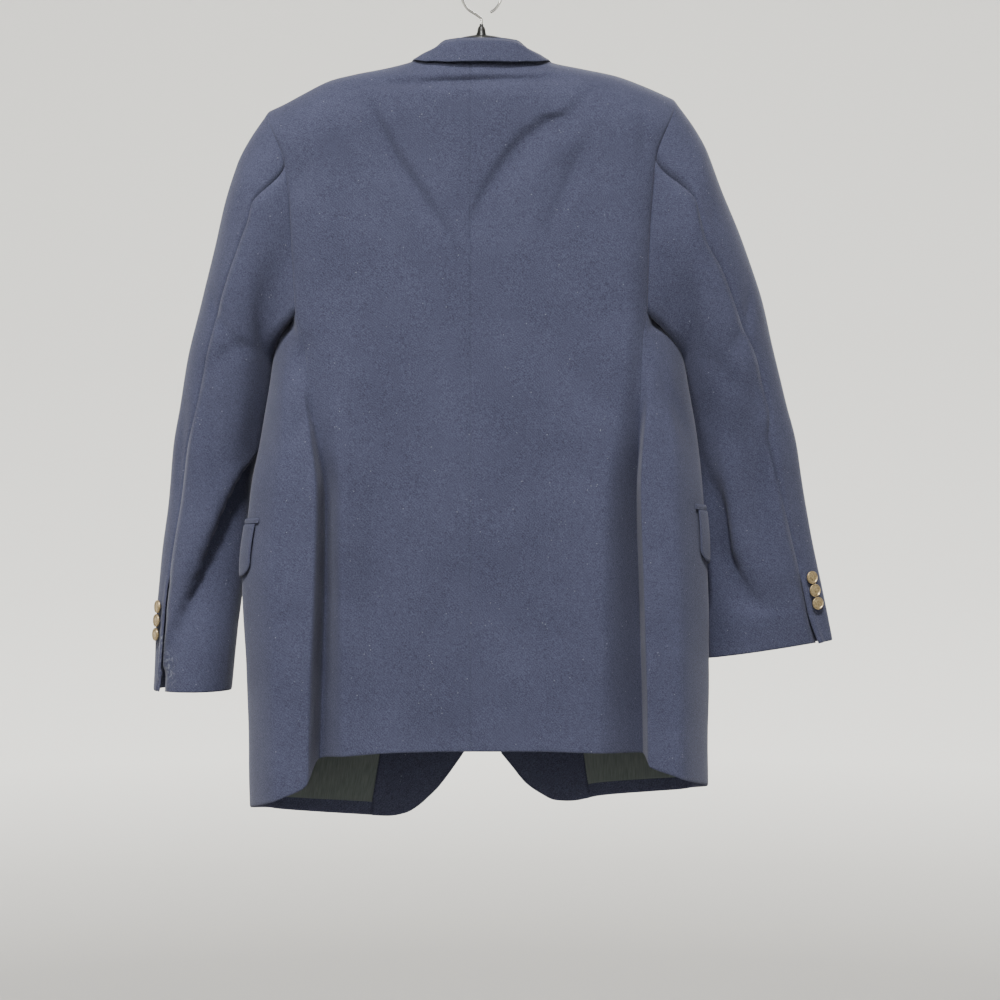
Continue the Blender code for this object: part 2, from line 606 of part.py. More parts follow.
def build_sleeve(side):
    armhole, go_on, body_out, bottom = armhole_ring(side)
    tube, back, inner = sleeve_surface(side, SLEEVE_RINGS, armhole, bottom)
    points = np.concatenate([(armhole + go_on * GAP)[None], tube])
    trial = ring_normals(points, 1.0)
    away = points - points.mean(axis=1, keepdims=True)
    facing_out = math.copysign(1, float((trial * away)[len(points) // 2].sum()))
    normal = ring_normals(points, facing_out)
    inside = points - normal * CLOTH
    inside[0] = points[0] - body_out * CLOTH
    around = unit(np.roll(points, -1, axis=1) - np.roll(points, 1, axis=1))
    count = points.shape[1]
    under = np.arange(back, inner + 1)
    top = np.arange(inner, back + count + 1) % count
    for name, columns in (("under_sleeve_" + side, under), ("top_sleeve_" + side, top)):
        outer, inward = points[:, columns].copy(), inside[:, columns].copy()
        for edge, way in ((0, 1), (-1, -1)):
            outer[:, edge] += around[:, columns[edge]] * way * GAP / 2
            inward[:, edge] += around[:, columns[edge]] * way * GAP / 2
        if facing_out < 0:
            outer, inward = outer[:, ::-1], inward[:, ::-1]
        wall(name, outer, inward, wool)
    return points, normal, back


# ---------------------------------------------------------------- collar
def half_neck_path(side):
    """The neck seam of one half from the middle of the back, through the points of the panels:
    stations, heights and places."""
    s = np.abs(back_stations(side))
    s = np.sort(s)[1:] * SIGN[side]
    x = np.abs(plain_point(s, 2.0)[:, 0])
    on_neck = x < NECK_HALF_WIDTH - 1
    roll_w = front_grid(side, 0, 1)[1][:-COLLAR_FRONT_ROWS - 1:-1, 0][1:]
    point_s = station_at_x(SIGN[side] * NECK_HALF_WIDTH)
    path_s = np.concatenate([s[on_neck], [point_s], np.full(len(roll_w), SIGN[side] * STATION["front_edge"])])
    path_w = np.concatenate([neck_w(s[on_neck]), [2.0], roll_w])
    place = np.concatenate([x[on_neck], [NECK_HALF_WIDTH], NECK_HALF_WIDTH + 100 * (2 - roll_w)])
    return path_s, path_w, place


def station_at_x(x):
    """The station of the back panel whose top lies at x millimetres."""
    stations = np.linspace(-STATION["seam"], STATION["seam"], 401)
    return float(np.interp(x, plain_point(stations, 2.0)[:, 0], stations))


def build_collar():
    left_s, left_w, left_place = half_neck_path("left")
    right_s, right_w, right_place = half_neck_path("right")
    s = np.concatenate([left_s[::-1], [0.0], right_s])
    w = np.concatenate([left_w[::-1], [float(neck_w(np.array(0.0)))], right_w])
    place = np.concatenate([left_place[::-1], [0.0], right_place])
    way = np.sign(s)
    point, normal = body_point(s, w), body_normal(s, w)
    along = unit(np.gradient(point, axis=0))
    seat = (point - normal * CLOTH + unit(np.cross(normal, along)) * COLLAR_SEAT) / MM
    table = columns_of(COLLAR_COLUMNS, COLLAR)
    lines = [seat]
    for name in ("fold", "roll", "edge"):
        out, forward, up = (curve(table["place"], table[name + axis], place) for axis in ("_out", "_y", "_up"))
        lines.append(seat + np.stack([out * way, forward, up], -1))
    lines = np.stack(lines, 1)
    points = np.stack([np.stack([curve(COLLAR_KNOTS, row[:, axis], COLLAR_ACROSS) for axis in range(3)], -1)
                       for row in lines]) * MM
    face = unit(np.cross(np.gradient(points, axis=1), np.gradient(points, axis=0)))
    back_face = points - face * CLOTH
    back_face[:, 0] = points[:, 0] + normal * CLOTH
    wall("collar", points, back_face, wool)


# ---------------------------------------------------------------- buttons
def turned_piece(name, profile, steps, place, material):
    """A profile in X and Z, turned round Z by a Screw modifier and put in its place."""
    mesh = bpy.data.meshes.new(name)
    mesh.from_pydata([(radius, 0, height) for radius, height in profile], [],
                     [])
    mesh.edges.add(len(profile) - 1)
    for index, edge in enumerate(mesh.edges):
        edge.vertices = (index, index + 1)
    piece = add_object(name, mesh, material)
    screw = piece.modifiers.new("turn", "SCREW")
    screw.steps = screw.render_steps = steps
    screw.use_merge_vertices = True
    screw.merge_threshold = 0.00005
    screw.use_normal_calculate = True
    piece.matrix_world = place
    return piece


def button_profile(radius):
    """A domed metal button with its shank, from the crown down to the shank's foot."""
    rim, shank, height = radius, radius * 0.28, SHANK
    return [(0, height + 0.0030), (radius * 0.45, height + 0.0028), (radius * 0.8, height + 0.0020),
            (rim, height + 0.0010), (rim, height + 0.0003), (shank, height), (shank, 0), (0, 0)]


def on_surface(point, normal, lift):
    """A place whose Z axis is the surface's normal."""
    turn = Vector(normal).to_track_quat("Z", "Y").to_matrix().to_4x4()
    return Matrix.Translation(Vector(point) + Vector(normal) * lift) @ turn


def build_sleeve_buttons(side, points, normal, back):
    """Three buttons beside the vent, on the top sleeve."""
    for number, z in enumerate(SLEEVE_BUTTON_ROWS[side]):
        by_seam, beside = (np.array([np.interp(-z * MM, -points[1:, column, 2], points[1:, column, axis])
                                     for axis in range(3)]) for column in (back - 1, back - 2))
        spot = by_seam + unit(beside - by_seam) * BUTTON_SHIFT * MM
        ring = 1 + int(np.argmin(np.abs(points[1:, back - 1, 2] - z * MM)))
        place = on_surface(spot, normal[ring, back - 1] + normal[ring, back - 2], BUTTON_SEAT)
        turned_piece("sleeve_button_%s_%d" % (side, number + 1), button_profile(SLEEVE_BUTTON_RADIUS),
                     16, place, gilt)


def build_front_buttons():
    """Both buttons on the left front, which lies over the right one."""
    for name, z in zip(("top", "low"), FRONT_BUTTON_Z):
        s = np.array(-STATION["front_edge"] + 20.0)
        w = w_at_height(s, z)
        place = on_surface(body_point(s, w), body_normal(s, w), GAP)
        turned_piece("front_button_" + name, button_profile(FRONT_BUTTON_RADIUS), 20, place, gilt)


# ---------------------------------------------------------------- hanger
def shoulder_height(x):
    shoulder_x, shoulder_z = np.array(SHOULDER, float).T
    return float(curve(shoulder_x, shoulder_z, np.array(x / MM))) * MM


def arm_top(x):
    """The top of the arms: a hump at the neck, then just under the cloth of the shoulders."""
    hump_x, hump_z = np.array(HANGER_HUMP, float).T
    if abs(x) < hump_x[-1] * MM:
        return float(curve(hump_x, hump_z, np.array(abs(x) / MM))) * MM
    return shoulder_height(x) - CLOTH - ARM_CLEARANCE


def build_hanger():
    rows = []
    stations = np.linspace(-HANGER_REACH, HANGER_REACH, 37)
    for x in stations:
        end = min(1.0, (HANGER_REACH - abs(x)) / 0.012)
        swell = math.sqrt(max(0.05, 1 - (1 - end) ** 2))
        half_depth = ARM_HALF_DEPTH * swell
        height = ARM_HEIGHT * (0.65 + 0.35 * swell)
        top = arm_top(x)
        ring = []
        for step in range(12):
            angle = 2 * math.pi * step / 12
            drop = (1 - math.cos(angle)) / 2
            ring.append((x, half_depth * math.sin(angle), top - height * drop))
        rows.append(ring)
    mesh = bpy.data.meshes.new("hanger_body")
    built = bmesh.new()
    loops = [[built.verts.new(point) for point in ring] for ring in rows]
    for here, after in zip(loops, loops[1:]):
        for step in range(12):
            ahead = (step + 1) % 12
            built.faces.new((here[step], here[ahead], after[ahead], after[step]))
    built.faces.new(loops[0][::-1])
    built.faces.new(loops[-1])
    bmesh.ops.recalc_face_normals(built, faces=built.faces)
    built.to_mesh(mesh)
    built.free()
    body = add_object("hanger_body", mesh, black_plastic)
    neck = cone_cutter("neck", 0.0062, 0.0046, HANGER_TOP - 0.006, NECK_TOP)
    join = body.modifiers.new("neck", "BOOLEAN")
    join.operation = "UNION"
    join.object = neck
    socket = cone_cutter("socket", HOOK_WIRE / 2 + GAP, HOOK_WIRE / 2 + GAP, SOCKET_FLOOR, NECK_TOP + 0.002)
    drill = body.modifiers.new("socket", "BOOLEAN")
    drill.operation = "DIFFERENCE"
    drill.object = socket


def cone_cutter(name, low_radius, high_radius, low, high):
    bpy.ops.mesh.primitive_cone_add(vertices=20, radius1=low_radius, radius2=high_radius,
                                    depth=high - low, location=(0, 0, (low + high) / 2))
    cutter = bpy.context.object
    cutter.name = name
    cutter.hide_render = True
    cutter.display_type = "WIRE"
    for owner in list(cutter.users_collection):
        owner.objects.unlink(cutter)
    cutters.objects.link(cutter)
    return cutter


def hook_route():
    """Up the shank, round the loop over the rod and to the rounded tip."""
    middle_z = -HOOK_RADIUS + HOOK_WIRE / 2
    loop = []
    for degrees in range(-64, 236, 12):
        angle = math.radians(degrees)
        loop.append((HOOK_RADIUS * math.cos(angle), 0, middle_z + HOOK_RADIUS * math.sin(angle)))
    loop = loop[::-1]
    bottom = loop[0]
    shank = [(0, 0, SOCKET_FLOOR + GAP), (0, 0, NECK_TOP - 0.004), (0, 0, NECK_TOP + 0.006),
             (bottom[0] * 0.35, 0, (NECK_TOP + 0.006) * 0.55 + bottom[2] * 0.45)]
    return shank, loop


def build_hook():
    shank, loop = hook_route()
    points = shank + loop
    spline_data = bpy.data.curves.new("hanger_hook", "CURVE")
    spline_data.dimensions = "3D"
    spline_data.bevel_depth = HOOK_WIRE / 2
    spline_data.bevel_resolution = 2
    spline_data.use_fill_caps = True
    spline = spline_data.splines.new("POLY")
    spline.points.add(len(points) - 1)
    for spot, point in zip(spline.points, points):
        spot.co = (*point, 1)
    spline_data.materials.append(bright_wire)
    collection.objects.link(bpy.data.objects.new("hanger_hook", spline_data))


# ---------------------------------------------------------------- the model
def principled(name, colour, roughness, metallic=0.0):
    material = bpy.data.materials.new(name)
    material.use_nodes = True
    shader = material.node_tree.nodes["Principled BSDF"]
    shader.inputs["Base Color"].default_value = (*colour, 1)
    shader.inputs["Roughness"].default_value = roughness
    shader.inputs["Metallic"].default_value = metallic
    return material


for old in list(bpy.data.objects):
    bpy.data.objects.remove(old)
collection = bpy.data.collections.new("blazer_on_hanger")
cutters = bpy.data.collections.new("cutters")
bpy.context.scene.collection.children.link(collection)
bpy.context.scene.collection.children.link(cutters)

wool = principled("navy wool", (0.060, 0.070, 0.125), 0.85)
satin = principled("lining satin", (0.100, 0.130, 0.115), 0.40)
gilt = principled("antique gilt", (0.42, 0.34, 0.20), 0.42, 1.0)
black_plastic = principled("black plastic", (0.020, 0.019, 0.017), 0.35)
bright_wire = principled("bright wire", (0.72, 0.72, 0.72), 0.18, 1.0)

for side in ("left", "right"):
    build_back(side)
    build_side(side)
    build_front(side)
    build_facing(side)
    build_lining(side)
    build_lapel(side)
    build_pockets(side)
    sleeve_points, sleeve_normal, back_seam = build_sleeve(side)
    build_sleeve_buttons(side, sleeve_points, sleeve_normal, back_seam)
build_on_panel("breast_welt", WELT[:4], WELT[4], GAP, 0.0015, 6, 2)
build_collar()
build_front_buttons()
build_hanger()
build_hook()
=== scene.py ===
# %% [markdown]
# # A navy blazer on a hanger
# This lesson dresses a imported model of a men's blazer.  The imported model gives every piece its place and
# its size, and this script gives it cloth, thread and metal.  Everything is in metres with +Z up.  The
# wearer's back faces -Y, the wearer's left is at -X, and the origin is the inner top of the hook.

# %% Load the frame
import math

import bmesh
import bpy
import numpy as np
from mathutils import Matrix, Vector


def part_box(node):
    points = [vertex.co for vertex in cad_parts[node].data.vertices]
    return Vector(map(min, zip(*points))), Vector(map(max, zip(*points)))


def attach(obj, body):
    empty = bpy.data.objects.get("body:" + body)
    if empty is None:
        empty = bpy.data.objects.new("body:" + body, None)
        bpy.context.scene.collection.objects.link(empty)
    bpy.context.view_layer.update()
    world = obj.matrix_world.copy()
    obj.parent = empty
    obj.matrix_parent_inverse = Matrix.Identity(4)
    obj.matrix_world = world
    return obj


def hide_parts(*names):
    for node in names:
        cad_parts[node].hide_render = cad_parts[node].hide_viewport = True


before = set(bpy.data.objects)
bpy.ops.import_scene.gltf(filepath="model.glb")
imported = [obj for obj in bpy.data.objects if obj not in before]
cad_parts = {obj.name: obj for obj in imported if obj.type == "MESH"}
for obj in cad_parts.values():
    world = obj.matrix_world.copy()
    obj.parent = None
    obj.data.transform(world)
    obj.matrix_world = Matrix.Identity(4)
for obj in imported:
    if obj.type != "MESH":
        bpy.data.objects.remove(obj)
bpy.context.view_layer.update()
print("the frame has", len(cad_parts), "pieces")

# %% [markdown]
# ## Sizes and small helpers
# A jacket is a wall of wool about 2 mm thick, stiffened by canvas, so every panel here is a thin closed
# shell.  One could model it by hand from a cube, but a tailor thinks in measured levels: this script keeps
# the widths and depths of the garment in short tables and reads smooth curves between their rows.

# %% Sizes of the cloth, and smooth curves through a table
MM = 0.001
GAP = 0.0003             # between two pieces at a seam
CLOTH = 0.0020           # wool with its canvas
FACING = 0.0015
SATIN = 0.0010           # the lining
FLAP = 0.0020
ARCH_HEIGHT = 0.075      # how far the shoulder takes to round over the hanger
CENTRE_SEAM_X = -0.012
SIGN = {"left": -1, "right": 1}
STEP = 4.0               # millimetres between the columns and rows of a shell's mesh


def slopes(knots, values):
    """Tangents that never overshoot, along the last axis of values."""
    slope = np.diff(values, axis=-1) / np.diff(knots)
    before, after = slope[..., :-1], slope[..., 1:]
    same_way = before * after > 0
    total = np.where(same_way, before + after, 1.0)
    middle = np.where(same_way, 2 * before * after / total, 0.0)
    return np.concatenate([slope[..., :1], middle, slope[..., -1:]], -1)


def curve(knots, values, at):
    """Read a smooth curve at each place; values may hold a row of its own for each place."""
    knots = np.asarray(knots, float)
    at = np.asarray(at, float)
    values = np.broadcast_to(np.asarray(values, float), at.shape + (len(knots),))
    bend = slopes(knots, values)
    left = np.clip(np.searchsorted(knots, at, side="right") - 1, 0, len(knots) - 2)
    step = knots[left + 1] - knots[left]
    t = np.clip((at - knots[left]) / step, 0, 1)

    def pick(table, index):
        return np.take_along_axis(table, index[..., None], -1)[..., 0]

    return (pick(values, left) * (1 + 2 * t) * (1 - t) ** 2 + pick(values, left + 1) * t * t * (3 - 2 * t)
            + pick(bend, left) * step * t * (1 - t) ** 2 - pick(bend, left + 1) * step * t * t * (1 - t))


def unit(vectors):
    return vectors / np.linalg.norm(vectors, axis=-1, keepdims=True)


def columns_of(names, rows):
    """A table's columns by name."""
    return dict(zip(names, np.array(rows, float).T))


print("a curve through (0, 0), (1, 2), (2, 2) at 0.5:", curve([0, 1, 2], [0, 2, 2], 0.5))

# %% [markdown]
# ## The body as one surface
# Back, side panel and front meet edge to edge, so they are stretches of one sheet.  A point of it has a
# station `s`, in millimetres round the body from the left front edge over the centre back to the right
# front edge, and a height `w`: 0 at the hem, 1 where the shoulder starts to round over, 2 at its seam.

# %% The levels of the body
# Stations round one half of the body, from the centre back to the front edge.
STATION = {"centre": 0, "back": 70, "crest": 140, "seam": 175, "ridge": 205, "panel": 245,
           "edge": 285, "front_seam": 345, "front": 450, "front_edge": 540}

# One row for each level below the underarm.  crest: where the back panel starts to fall into
# the fold; seam: the side-back seam at the bottom of the fold; ridge: where the side panel comes
# out of it; panel: its middle; edge: the outline of the body; front_seam: side panel to front.
LOWER_COLUMNS = ("z", "back_y", "crest_x", "crest_y", "seam_x", "seam_y", "ridge_x", "ridge_y",
                 "panel_x", "panel_y", "edge_x", "edge_y", "front_seam_x", "front_seam_y", "front_y")
LOWER_LEFT = [
    (-960, -56, -152, -62, -187, -34, -196, -80, -228, -76, -266, -20, -246, 34, 44),
    (-900, -56, -152, -62, -184, -34, -194, -80, -228, -76, -267, -20, -246, 36, 46),
    (-800, -57, -153, -63, -181, -34, -192, -79, -230, -77, -270, -20, -248, 37, 47),
    (-700, -58, -155, -65, -178, -36, -188, -78, -232, -77, -275, -20, -250, 38, 48),
    (-600, -60, -154, -67, -177, -42, -186, -75, -224, -74, -265, -20, -242, 38, 50),
    (-540, -61, -157, -67, -184, -55, -193, -70, -222, -66, -256, -6, -246, 36, 52),
    (-480, -62, -164, -66, -194, -59, -203, -61, -223, -52, -246, -4, -238, 34, 54),
    (-420, -62, -175, -64, -204, -54, -211, -46, -222, -31, -237, -2, -228, 30, 56),
]
LOWER_RIGHT = [
    (-960, -56, 132, -66, 186, -28, 189, -80, 222, -78, 261, -16, 242, 34, 44),
    (-900, -56, 133, -66, 185, -28, 188, -80, 222, -78, 261, -16, 242, 36, 46),
    (-800, -57, 135, -67, 183, -26, 186, -81, 222, -78, 262, -16, 242, 37, 47),
    (-700, -58, 136, -68, 180, -27, 183, -80, 220, -77, 261, -16, 240, 38, 48),
    (-600, -60, 139, -69, 177, -36, 180, -77, 216, -73, 255, -17, 236, 38, 50),
    (-540, -61, 148, -68, 179, -50, 184, -72, 215, -66, 250, -6, 242, 36, 52),
    (-480, -62, 157, -66, 181, -57, 192, -61, 214, -52, 240, -4, 232, 34, 54),
    (-420, -62, 162, -64, 184, -54, 196, -46, 211, -31, 229, -2, 221, 30, 56),
]
# One row for each level from the underarm up, where the panels end at the armhole.
UPPER_COLUMNS = ("z", "back_y", "crest_x", "crest_y", "back_arm_x", "back_arm_y",
                 "front_arm_x", "front_arm_y", "front_y")
UPPER_LEFT = [
    (-395, -62, -178, -63, -211, -49, -214, 29, 56),
    (-330, -62, -178, -63, -215, -47, -211, 32, 56),
    (-270, -60, -178, -61, -218, -48, -212, 36, 55),
    (-220, -58, -182, -60, -225, -49, -222, 40, 52),
    (-158, -58, -194, -60, -246, -50, -246, 42, 50),
    (-99, -58, -194, -60, -246, -50, -246, 42, 50),
]
UPPER_RIGHT = [
    (-395, -62, 163, -63, 189, -49, 205, 29, 56),
    (-330, -62, 163, -63, 191, -47, 194, 32, 56),
    (-270, -60, 160, -61, 194, -48, 190, 36, 55),
    (-220, -58, 162, -60, 199, -49, 198, 40, 52),
    (-145, -58, 176, -60, 223, -50, 223, 42, 50),
    (-99, -58, 176, -60, 223, -50, 223, 42, 50),
]
# The shoulder line over the hanger, from one shoulder point to the other.
SHOULDER = [
    (-250, -160), (-246, -158), (-230, -150.5), (-205, -137), (-172, -121.5), (-152, -116.5),
    (-84, -101.5), (-74, -98), (-40, -85), (0, -80), (40, -85), (74, -98), (85, -102), (114, -108),
    (153, -116.5), (187, -128.5), (223, -144.5), (228, -147),
]
# The hem, by station.  It falls from the back to the rounded corners of the fronts.
HEM = [
    (-540, -905), (-532, -928), (-523, -949), (-509, -967), (-494, -977), (-478, -980), (-450, -978),
    (-400, -974), (-345, -969), (-285, -960), (-245, -944), (-205, -927), (-175, -902), (-140, -897),
    (-70, -893), (0, -892), (70, -892), (140, -893), (175, -897), (205, -905), (245, -919),
    (285, -936), (345, -946), (400, -951), (450, -956), (484, -962), (498, -961), (511, -953),
    (524, -940), (532, -923), (540, -906),
]
# The front edges.  They are buttoned together at the waist and cut away to the hem, and above
# the top button the edge is the roll line of the lapel, up to the neck point.
FRONT_EDGE_LEFT = [(-990, -45), (-905, -21), (-850, -7), (-780, 6), (-700, 15), (-620, 20), (-520, 20),
                   (-300, -34), (-98, -74)]
FRONT_EDGE_RIGHT = [(-990, 45), (-906, 23), (-850, 9), (-780, -6), (-700, -15), (-620, -20), (-520, -20),
                    (-300, 34), (-98, 74)]
OVERLAP_LIFT = 8.5       # the left front lies this far over the right one
ARMHOLE_FLOOR = [(175, -395), (205, -401), (245, -407), (285, -407), (345, -395)]
NECK_HALF_WIDTH = 74.0
NECK_DIP = 0.55          # how far down the rounding of the shoulder the back neck is cut, in w
print("levels below the underarm:", len(LOWER_LEFT), "and from there up:", len(UPPER_LEFT))

# %% The surface from the tables
SIDE_STATIONS = ("seam", "ridge", "panel", "edge", "front_seam")
OVER_ARM = (0, 4, 9, 10, 0)      # how far the surface swells out between the two edges of an armhole
BACK_SWELL = 1.0                 # and the back, half way from its centre to its crest


def half_sections(lower_rows, upper_rows, front_edge, lift):
    """Heights, and for each the X and Y of every station of one half."""
    lower = columns_of(LOWER_COLUMNS, lower_rows)
    upper = columns_of(UPPER_COLUMNS, upper_rows)
    between = np.linspace(0, 1, len(SIDE_STATIONS))
    xs, ys = [], []
    for row in range(len(lower_rows)):
        part = {name: column[row] for name, column in lower.items()}
        xs.append([part[name + "_x"] for name in SIDE_STATIONS])
        ys.append([part[name + "_y"] for name in SIDE_STATIONS])
    for row in range(len(upper_rows)):
        part = {name: column[row] for name, column in upper.items()}
        out = np.array(OVER_ARM) * math.copysign(1, part["back_arm_x"])
        xs.append(part["back_arm_x"] + (part["front_arm_x"] - part["back_arm_x"]) * between + out)
        ys.append(part["back_arm_y"] + (part["front_arm_y"] - part["back_arm_y"]) * between)
    z = np.concatenate([lower["z"], upper["z"]])
    back_y, crest_x, crest_y, front_y = (np.concatenate([lower[name], upper[name]])
                                         for name in ("back_y", "crest_x", "crest_y", "front_y"))
    centre_x = np.full(len(z), CENTRE_SEAM_X / MM)
    side_x, side_y = np.array(xs), np.array(ys)
    edge_z, edge_x = np.array(front_edge, float).T
    front_edge_x = curve(edge_z, edge_x, z)
    front_x = (side_x[:, -1] + front_edge_x) / 2
    x = np.column_stack([centre_x, (centre_x + crest_x) / 2, crest_x, side_x, front_x, front_edge_x])
    y = np.column_stack([back_y, back_y - BACK_SWELL, crest_y, side_y, front_y, front_y + lift])
    return z, x, y


LEFT_SECTIONS = half_sections(LOWER_LEFT, UPPER_LEFT, FRONT_EDGE_LEFT, OVERLAP_LIFT)
RIGHT_SECTIONS = half_sections(LOWER_RIGHT, UPPER_RIGHT, FRONT_EDGE_RIGHT, 0.0)
ROUND = np.array(list(STATION.values()), float)
ALL_STATIONS = np.concatenate([-ROUND[:0:-1], ROUND])


def sections(z):
    """X and Y of all stations, from the left front edge to the right one, at each height."""
    halves = []
    for heights, x, y in (LEFT_SECTIONS, RIGHT_SECTIONS):
        halves.append([np.stack([curve(heights, column, z) for column in table.T], -1) for table in (x, y)])
    (left_x, left_y), (right_x, right_y) = halves
    return (np.concatenate([left_x[..., :0:-1], right_x], -1),
            np.concatenate([left_y[..., :0:-1], right_y], -1))


# Sections are worked out once for every second millimetre of height, and blended in between.
SECTION_STEP = 2.0
SECTION_LOW, SECTION_HIGH = -1000.0, -60.0
SECTION_Z = np.arange(SECTION_LOW, SECTION_HIGH, SECTION_STEP)
SECTION_X, SECTION_Y = sections(SECTION_Z)


def section_at(z):
    """X and Y of all stations at each height, from the sections nearest to it."""
    place = np.clip((z - SECTION_Z[0]) / SECTION_STEP, 0, len(SECTION_Z) - 1.001)
    index = place.astype(int)
    share = (place - index)[..., None]
    return tuple(table[index] * (1 - share) + table[index + 1] * share for table in (SECTION_X, SECTION_Y))


print("sections:", len(SECTION_Z), "with", SECTION_X.shape[1], "stations each")

# %% [markdown]
# ## Where the cloth creases
# A hanging jacket creases where the hanger stops carrying it: under the collar, in long drags from the
# shoulders to the waist, and over the side seams.  Cloth simulation would fold it anywhere, so each crease
# is listed instead, as a soft trough along a few points, with a width of its own on each side.
# A trough that is narrow on one side reads as a crisp fold there.

# %% Creases of the body
CREASE_COLUMNS = ("depth", "width_left", "width_right", "points")
BACK_CREASES = [
    # the drags from both shoulders towards the middle of the back
    (9.0, 24, 5, [(-141, -141), (-125, -161), (-112, -188), (-96, -219), (-61, -270), (-32, -314)]),
    (-2.6, 13, 13, [(-160, -172), (-134, -208), (-104, -258), (-72, -308)]),
    (6.4, 5, 20, [(122, -144), (96, -172), (74, -178), (46, -199), (26, -224), (4, -258), (-12, -296)]),
    (-1.8, 12, 12, [(106, -198), (78, -222), (54, -258)]),
    (4.2, 8, 14, [(120, -196), (116, -206), (100, -246), (79, -297)]),
    # the fold that the collar presses into the yoke
    (5.0, 10, 4, [(-150, -130), (-70, -131), (0, -130), (50, -128), (100, -124)]),
    (1.8, 7, 6, [(14, -118), (52, -114), (92, -108)]),
    # small creases by the armholes and at the waist
    (3.4, 8, 10, [(-200, -222), (-206, -244), (-208, -268)]),
    (3.0, 9, 7, [(182, -170), (186, -196), (186, -222)]),
    (2.6, 9, 9, [(-196, -500), (-206, -524), (-216, -546)]),
    (3.2, 8, 11, [(-192, -420), (-204, -446), (-212, -474)]),
    (3.2, 11, 8, [(202, -462), (220, -500), (236, -536)]),
    (1.2, 8, 8, [(196, -478), (208, -520), (216, -566)]),
    # slow waves down the skirt of the back
    (5.6, 26, 18, [(-118, -560), (-124, -680), (-116, -800), (-112, -900)]),
    (-3.2, 20, 24, [(-70, -600), (-78, -720), (-80, -860)]),
    (3.4, 24, 22, [(60, -540), (74, -680), (78, -860)]),
    (-1.0, 22, 22, [(104, -520), (112, -660), (110, -840)]),
    (1.0, 18, 14, [(-30, -330), (-34, -420), (-24, -500)]),
]
FRONT_CREASES = [
    # from the shoulders down beside the lapels
    (3.0, 15, 15, [(-196, -160), (-176, -230), (-150, -320), (-138, -400)]),
    (2.6, 15, 15, [(176, -155), (158, -230), (136, -320), (126, -410)]),
    # strain across the waist at the button
    (1.8, 10, 12, [(-26, -548), (-70, -530), (-128, -508), (-180, -500)]),
    (1.5, 12, 10, [(-30, -586), (-84, -596), (-140, -620)]),
    (1.7, 12, 10, [(34, -556), (80, -538), (134, -520)]),
    # soft waves down the skirts
    (1.8, 24, 20, [(-120, -720), (-126, -820), (-124, -950)]),
    (1.6, 20, 24, [(118, -700), (124, -820), (122, -940)]),
    (-1.4, 22, 22, [(-70, -720), (-76, -840), (-80, -950)]),
]
print("creases:", len(BACK_CREASES), "behind and", len(FRONT_CREASES), "in front")

# %% How deep a crease is at a point
FADE_FROM, FADE_SPAN, FADE_SHAPE = 0.12, 0.92, 0.7     # part of a half wave along a crease, and its power


def crease_depth(flat, rows):
    """Depth of all creases at points in X and Z, in millimetres."""
    depth = np.zeros(flat.shape[:-1])
    for row in rows:
        crease = dict(zip(CREASE_COLUMNS, row))
        path = np.array(crease["points"], float)
        run = np.diff(path, axis=0)
        length = np.linalg.norm(run, axis=1)
        before = np.concatenate([[0], np.cumsum(length)])
        best = np.full(depth.shape, 1e9)
        place = np.zeros(depth.shape)
        side = np.ones(depth.shape)
        for index in range(len(run)):
            offset = flat - path[index]
            along = np.clip((offset @ run[index]) / length[index] ** 2, 0, 1)
            away = np.linalg.norm(offset - along[..., None] * run[index], axis=-1)
            across = offset[..., 0] * run[index, 1] - offset[..., 1] * run[index, 0]
            nearer = away < best
            best = np.where(nearer, away, best)
            place = np.where(nearer, before[index] + along * length[index], place)
            side = np.where(nearer, across, side)
        width = np.where(side > 0, crease["width_left"], crease["width_right"])
        wave = np.sin(math.pi * np.clip(place / before[-1], 0, 1) * FADE_SPAN + FADE_FROM)
        fade = np.clip(wave, 0, 1) ** FADE_SHAPE
        depth += crease["depth"] * fade * np.exp(-(best / width) ** 2)
    return depth


print("a point of the first drag lies in by", crease_depth(np.array([[-112.0, -188.0]]), BACK_CREASES))

# %% How far a point of the body is pressed in
WAVES = np.array([[0.9, 0.4, 1.3], [-0.5, 1.1, 0.8], [1.4, -0.7, 0.3], [0.3, 0.9, -1.6], [2.3, 1.7, 1.1],
                  [-1.9, 2.2, 1.5]])
WAVE_DEPTH = np.array([0.16, 0.14, 0.12, 0.10, 0.05, 0.05])
WAVE_TURN = 0.045        # radians for each millimetre along a wave of length 1
WAVE_SHIFT = 1.7         # radians from one wave to the next
BACK_FROM_Y, FRONT_FROM_Y, BLEND_Y = -30, 20, 15


def unevenness(point):
    """A slow ripple of a few tenths of a millimetre, so that no panel is dead flat."""
    phase = point @ WAVES.T * WAVE_TURN + np.arange(len(WAVES)) * WAVE_SHIFT
    return np.sin(phase) @ WAVE_DEPTH


def fold_depth(point):
    """How far the body is pressed in, at points in millimetres."""
    behind = np.clip((BACK_FROM_Y - point[..., 1]) / BLEND_Y, 0, 1)
    before = np.clip((point[..., 1] - FRONT_FROM_Y) / BLEND_Y, 0, 1)
    flat = point[..., (0, 2)]
    creases = crease_depth(flat, BACK_CREASES) * behind + crease_depth(flat, FRONT_CREASES) * before
    return creases + unevenness(point)


print("the middle of the back is pressed in by", fold_depth(np.array([[0.0, -60.0, -500.0]])))


# %% A point of the cloth, its normal and its directions
SIDE_STEP = 0.5          # stations to each side
UP_STEP = 0.002          # and w up and down, for a slope
FIRST_TOP = -120.0       # a first guess of the shoulder's height, which the rounds below correct
TOP_ROUNDS = 4
HEIGHT_ROUNDS = 24


